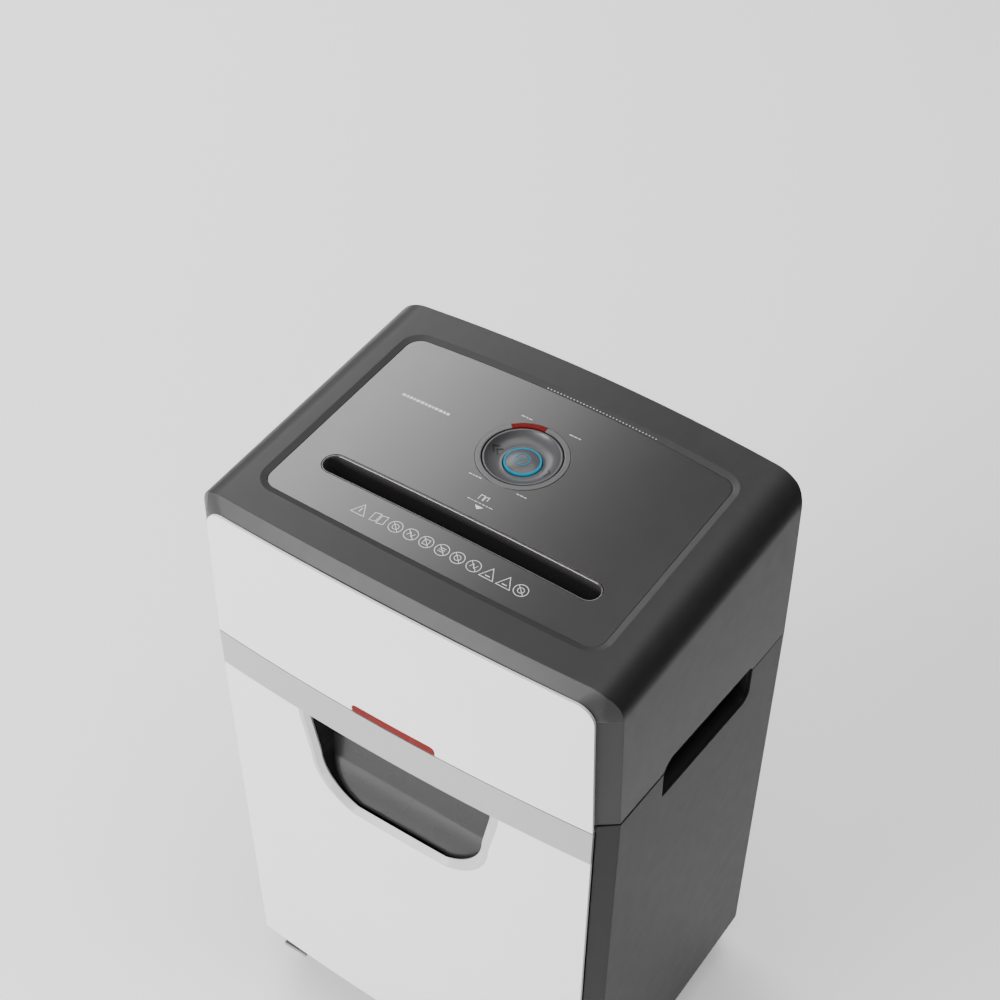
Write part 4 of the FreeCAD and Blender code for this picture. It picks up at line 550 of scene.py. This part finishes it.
# product line text is replaced by one plain bar of dashes
V, Fc = [], []
dashes(-114.0, -70.0, 39.7, (3.2, 2.0, 2.6, 1.6, 3.0), 2.4, 0.9)
make("panel_bar_print", V, Fc, PRINT, "cabinet")

# row of tiny light dots on the rim behind the panel: painted highlights standing for the glints of the vent holes,
# drawn only over the stretch where they catch the light
V, Fc = [], []
for i in range(34):
    x = -24.8 + 96.6 * i / 33
    d = 1.1
    y = PB + 0.3 - 9.04 * (x / HW) ** 2 + d
    z = roof(x) - RIMD + d * k + 0.06
    b0 = len(V)
    for a in range(10):
        dx, dy = 0.62 * math.cos(a * math.pi / 5), 0.5 * math.sin(a * math.pi / 5)
        V.append((x + dx, y + dy, z + dy * k))
    Fc.append(tuple(b0 + a for a in range(10)))
make("rim_dots", V, Fc, VENT_GLINT, "cabinet")


# ---------------------------------------------------------------- marks on the round control
def arc3(p, q, s):
    """Height over radius of the circle through three profile points."""
    (x1, y1), (x2, y2), (x3, y3) = p, q, s
    d = 2 * (x1 * (y2 - y3) + x2 * (y3 - y1) + x3 * (y1 - y2))
    ux = ((x1 * x1 + y1 * y1) * (y2 - y3) + (x2 * x2 + y2 * y2) * (y3 - y1) + (x3 * x3 + y3 * y3) * (y1 - y2)) / d
    uy = ((x1 * x1 + y1 * y1) * (x3 - x2) + (x2 * x2 + y2 * y2) * (x1 - x3) + (x3 * x3 + y3 * y3) * (x2 - x1)) / d
    rr = math.hypot(x1 - ux, y1 - uy)
    sg = 1 if y2 > uy else -1
    return lambda r: uy + sg * math.sqrt(max(0.0, rr * rr - (r - ux) ** 2))


dish_h = arc3((16.75, -6.9), (20.0, -6.5), (28.2, -0.2))
btn_h = arc3((12.85, -5.2), (8.0, -3.7), (2.0, -3.1))
on_dish = lambda x, y: ZP + dish_h(min(28.0, math.hypot(x, y - CY))) + 0.28
on_btn = lambda x, y: ZP + btn_h(max(2.0, math.hypot(x, y - CY))) + 0.22
V, Fc = [], []
# the chevrons are flat near-black strokes: painted shade where the grooves are
for s, xo in ((-1, 19.6), (-1, 23.0), (1, 20.4)):
    line = [(s * xo, CY + 3.8), (s * (xo + 3.2), CY), (s * xo, CY - 3.8)]
    fine = []
    for a, b in zip(line, line[1:]):
        fine += [(a[0] + (b[0] - a[0]) * t / 5, a[1] + (b[1] - a[1]) * t / 5) for t in range(5)]
    fine.append(line[-1])
    ribbon(fine, 0.9, on_dish, V, Fc)
make("control_chevrons", V, Fc, GROOVE_SHADE, "rocking_dish")
V, Fc = [], []
ribbon(circle(0.0, CY, 5.6, 48), 0.75, on_btn, V, Fc, True)
ribbon([(-1.5 + 3.0 * t / 4, CY - 2.3 + 4.6 * t / 4) for t in range(5)], 0.75, on_btn, V, Fc)
make("power_symbol", V, Fc, M["blue_lens"], "power_key")

# ---------------------------------------------------------------- set, light and camera
sc = bpy.context.scene


def stage_plane(name, x0, x1, y0, y1, z, mat, flip=False):
    f = [(0, 1, 2, 3)] if not flip else [(3, 2, 1, 0)]
    me = bpy.data.meshes.new(name)
    me.from_pydata([(x0, y0, z), (x1, y0, z), (x1, y1, z), (x0, y1, z)], [], f)
    o = bpy.data.objects.new(name, me)
    sc.collection.objects.link(o)
    me.materials.append(mat)
    return o


fm, ft, fb = nt("floor_pale")
fb.inputs["Base Color"].default_value = (0.93, 0.93, 0.93, 1)
fb.inputs["Roughness"].default_value = 0.8
fb.inputs["Emission Color"].default_value = (1, 1, 1, 1)
fb.inputs["Emission Strength"].default_value = 0.3
stage_plane("floor", -14, 14, -14, 14, -0.0004, fm)

# graded softbox behind and above the object's left side: it is what the glossy panel mirrors
gm = bpy.data.materials.new("softbox_graded")
gm.use_nodes = True
gt = gm.node_tree
gt.nodes.clear()
go = gt.nodes.new("ShaderNodeOutputMaterial")
ge = gt.nodes.new("ShaderNodeEmission")
gp = gt.nodes.new("ShaderNodeNewGeometry")
gx = gt.nodes.new("ShaderNodeSeparateXYZ")
gr = gt.nodes.new("ShaderNodeMapRange")
gr.interpolation_type = "SMOOTHSTEP"
gr.inputs["From Min"].default_value = -0.55
gr.inputs["From Max"].default_value = -1.75
gr.inputs["To Min"].default_value = 0.05
gr.inputs["To Max"].default_value = 7.0
gt.links.new(gp.outputs["Position"], gx.inputs[0])
gt.links.new(gx.outputs["X"], gr.inputs["Value"])
gt.links.new(gr.outputs["Result"], ge.inputs["Strength"])
gt.links.new(ge.outputs[0], go.inputs["Surface"])
stage_plane("softbox", -2.6, -0.2, 0.3, 2.4, 2.3, gm, True)

bpy.data.objects["softbox"].visible_camera = False
# dark flag that keeps the floor's bounce off the right side
dm, dt_, db = nt("flag_black")
db.inputs["Base Color"].default_value = (0.01, 0.01, 0.01, 1)
db.inputs["Roughness"].default_value = 0.9
db.inputs["Specular IOR Level"].default_value = 0.0
fme = bpy.data.meshes.new("flag")
fme.from_pydata([(0.58, -0.30, 0.16), (0.58, 1.0, 0.16), (0.58, 1.0, 1.5), (0.58, -0.30, 1.5)], [], [(0, 1, 2, 3)])
fo = bpy.data.objects.new("flag", fme)
sc.collection.objects.link(fo)
fme.materials.append(dm)
fo.visible_camera = False

w = bpy.data.worlds.new("studio")
sc.world = w
w.use_nodes = True
w.node_tree.nodes["Background"].inputs["Color"].default_value = (1, 1, 1, 1)
w.node_tree.nodes["Background"].inputs["Strength"].default_value = 0.40


def area(name, pos, target, size, power):
    li = bpy.data.lights.new(name, "AREA")
    li.shape = "RECTANGLE"
    li.size, li.size_y = size
    li.energy = power
    o = bpy.data.objects.new(name, li)
    sc.collection.objects.link(o)
    o.location = pos
    o.rotation_euler = (Vector(target) - Vector(pos)).to_track_quat("-Z", "Y").to_euler()
    return o


area("key", (-1.1, -2.7, 1.0), (0, 0, 0.4), (1.8, 1.4), 150)
area("top", (0.2, 0.3, 3.0), (0, 0, 0.3), (2.4, 2.4), 58)
area("rim_right", (2.4, 1.2, 1.6), (0, 0, 0.4), (0.9, 1.6), 2.5)

cam = bpy.data.cameras.new("camera")
co = bpy.data.objects.new("camera", cam)
sc.collection.objects.link(co)
cam.lens, cam.sensor_width = 75.31, 36.0
az, el = math.radians(34.2176), math.radians(45.617)
back = Vector((math.sin(az) * math.cos(el), -math.cos(az) * math.cos(el), math.sin(el)))
right = Vector((math.cos(az), math.sin(az), 0.0))
up = back.cross(right)
from mathutils import Matrix

mw = Matrix((right, up, back)).transposed().to_4x4()
mw.translation = Vector((0.6051, -0.8863, 1.6966))
co.matrix_world = mw
cam.clip_start, cam.clip_end = 0.05, 60
sc.camera = co
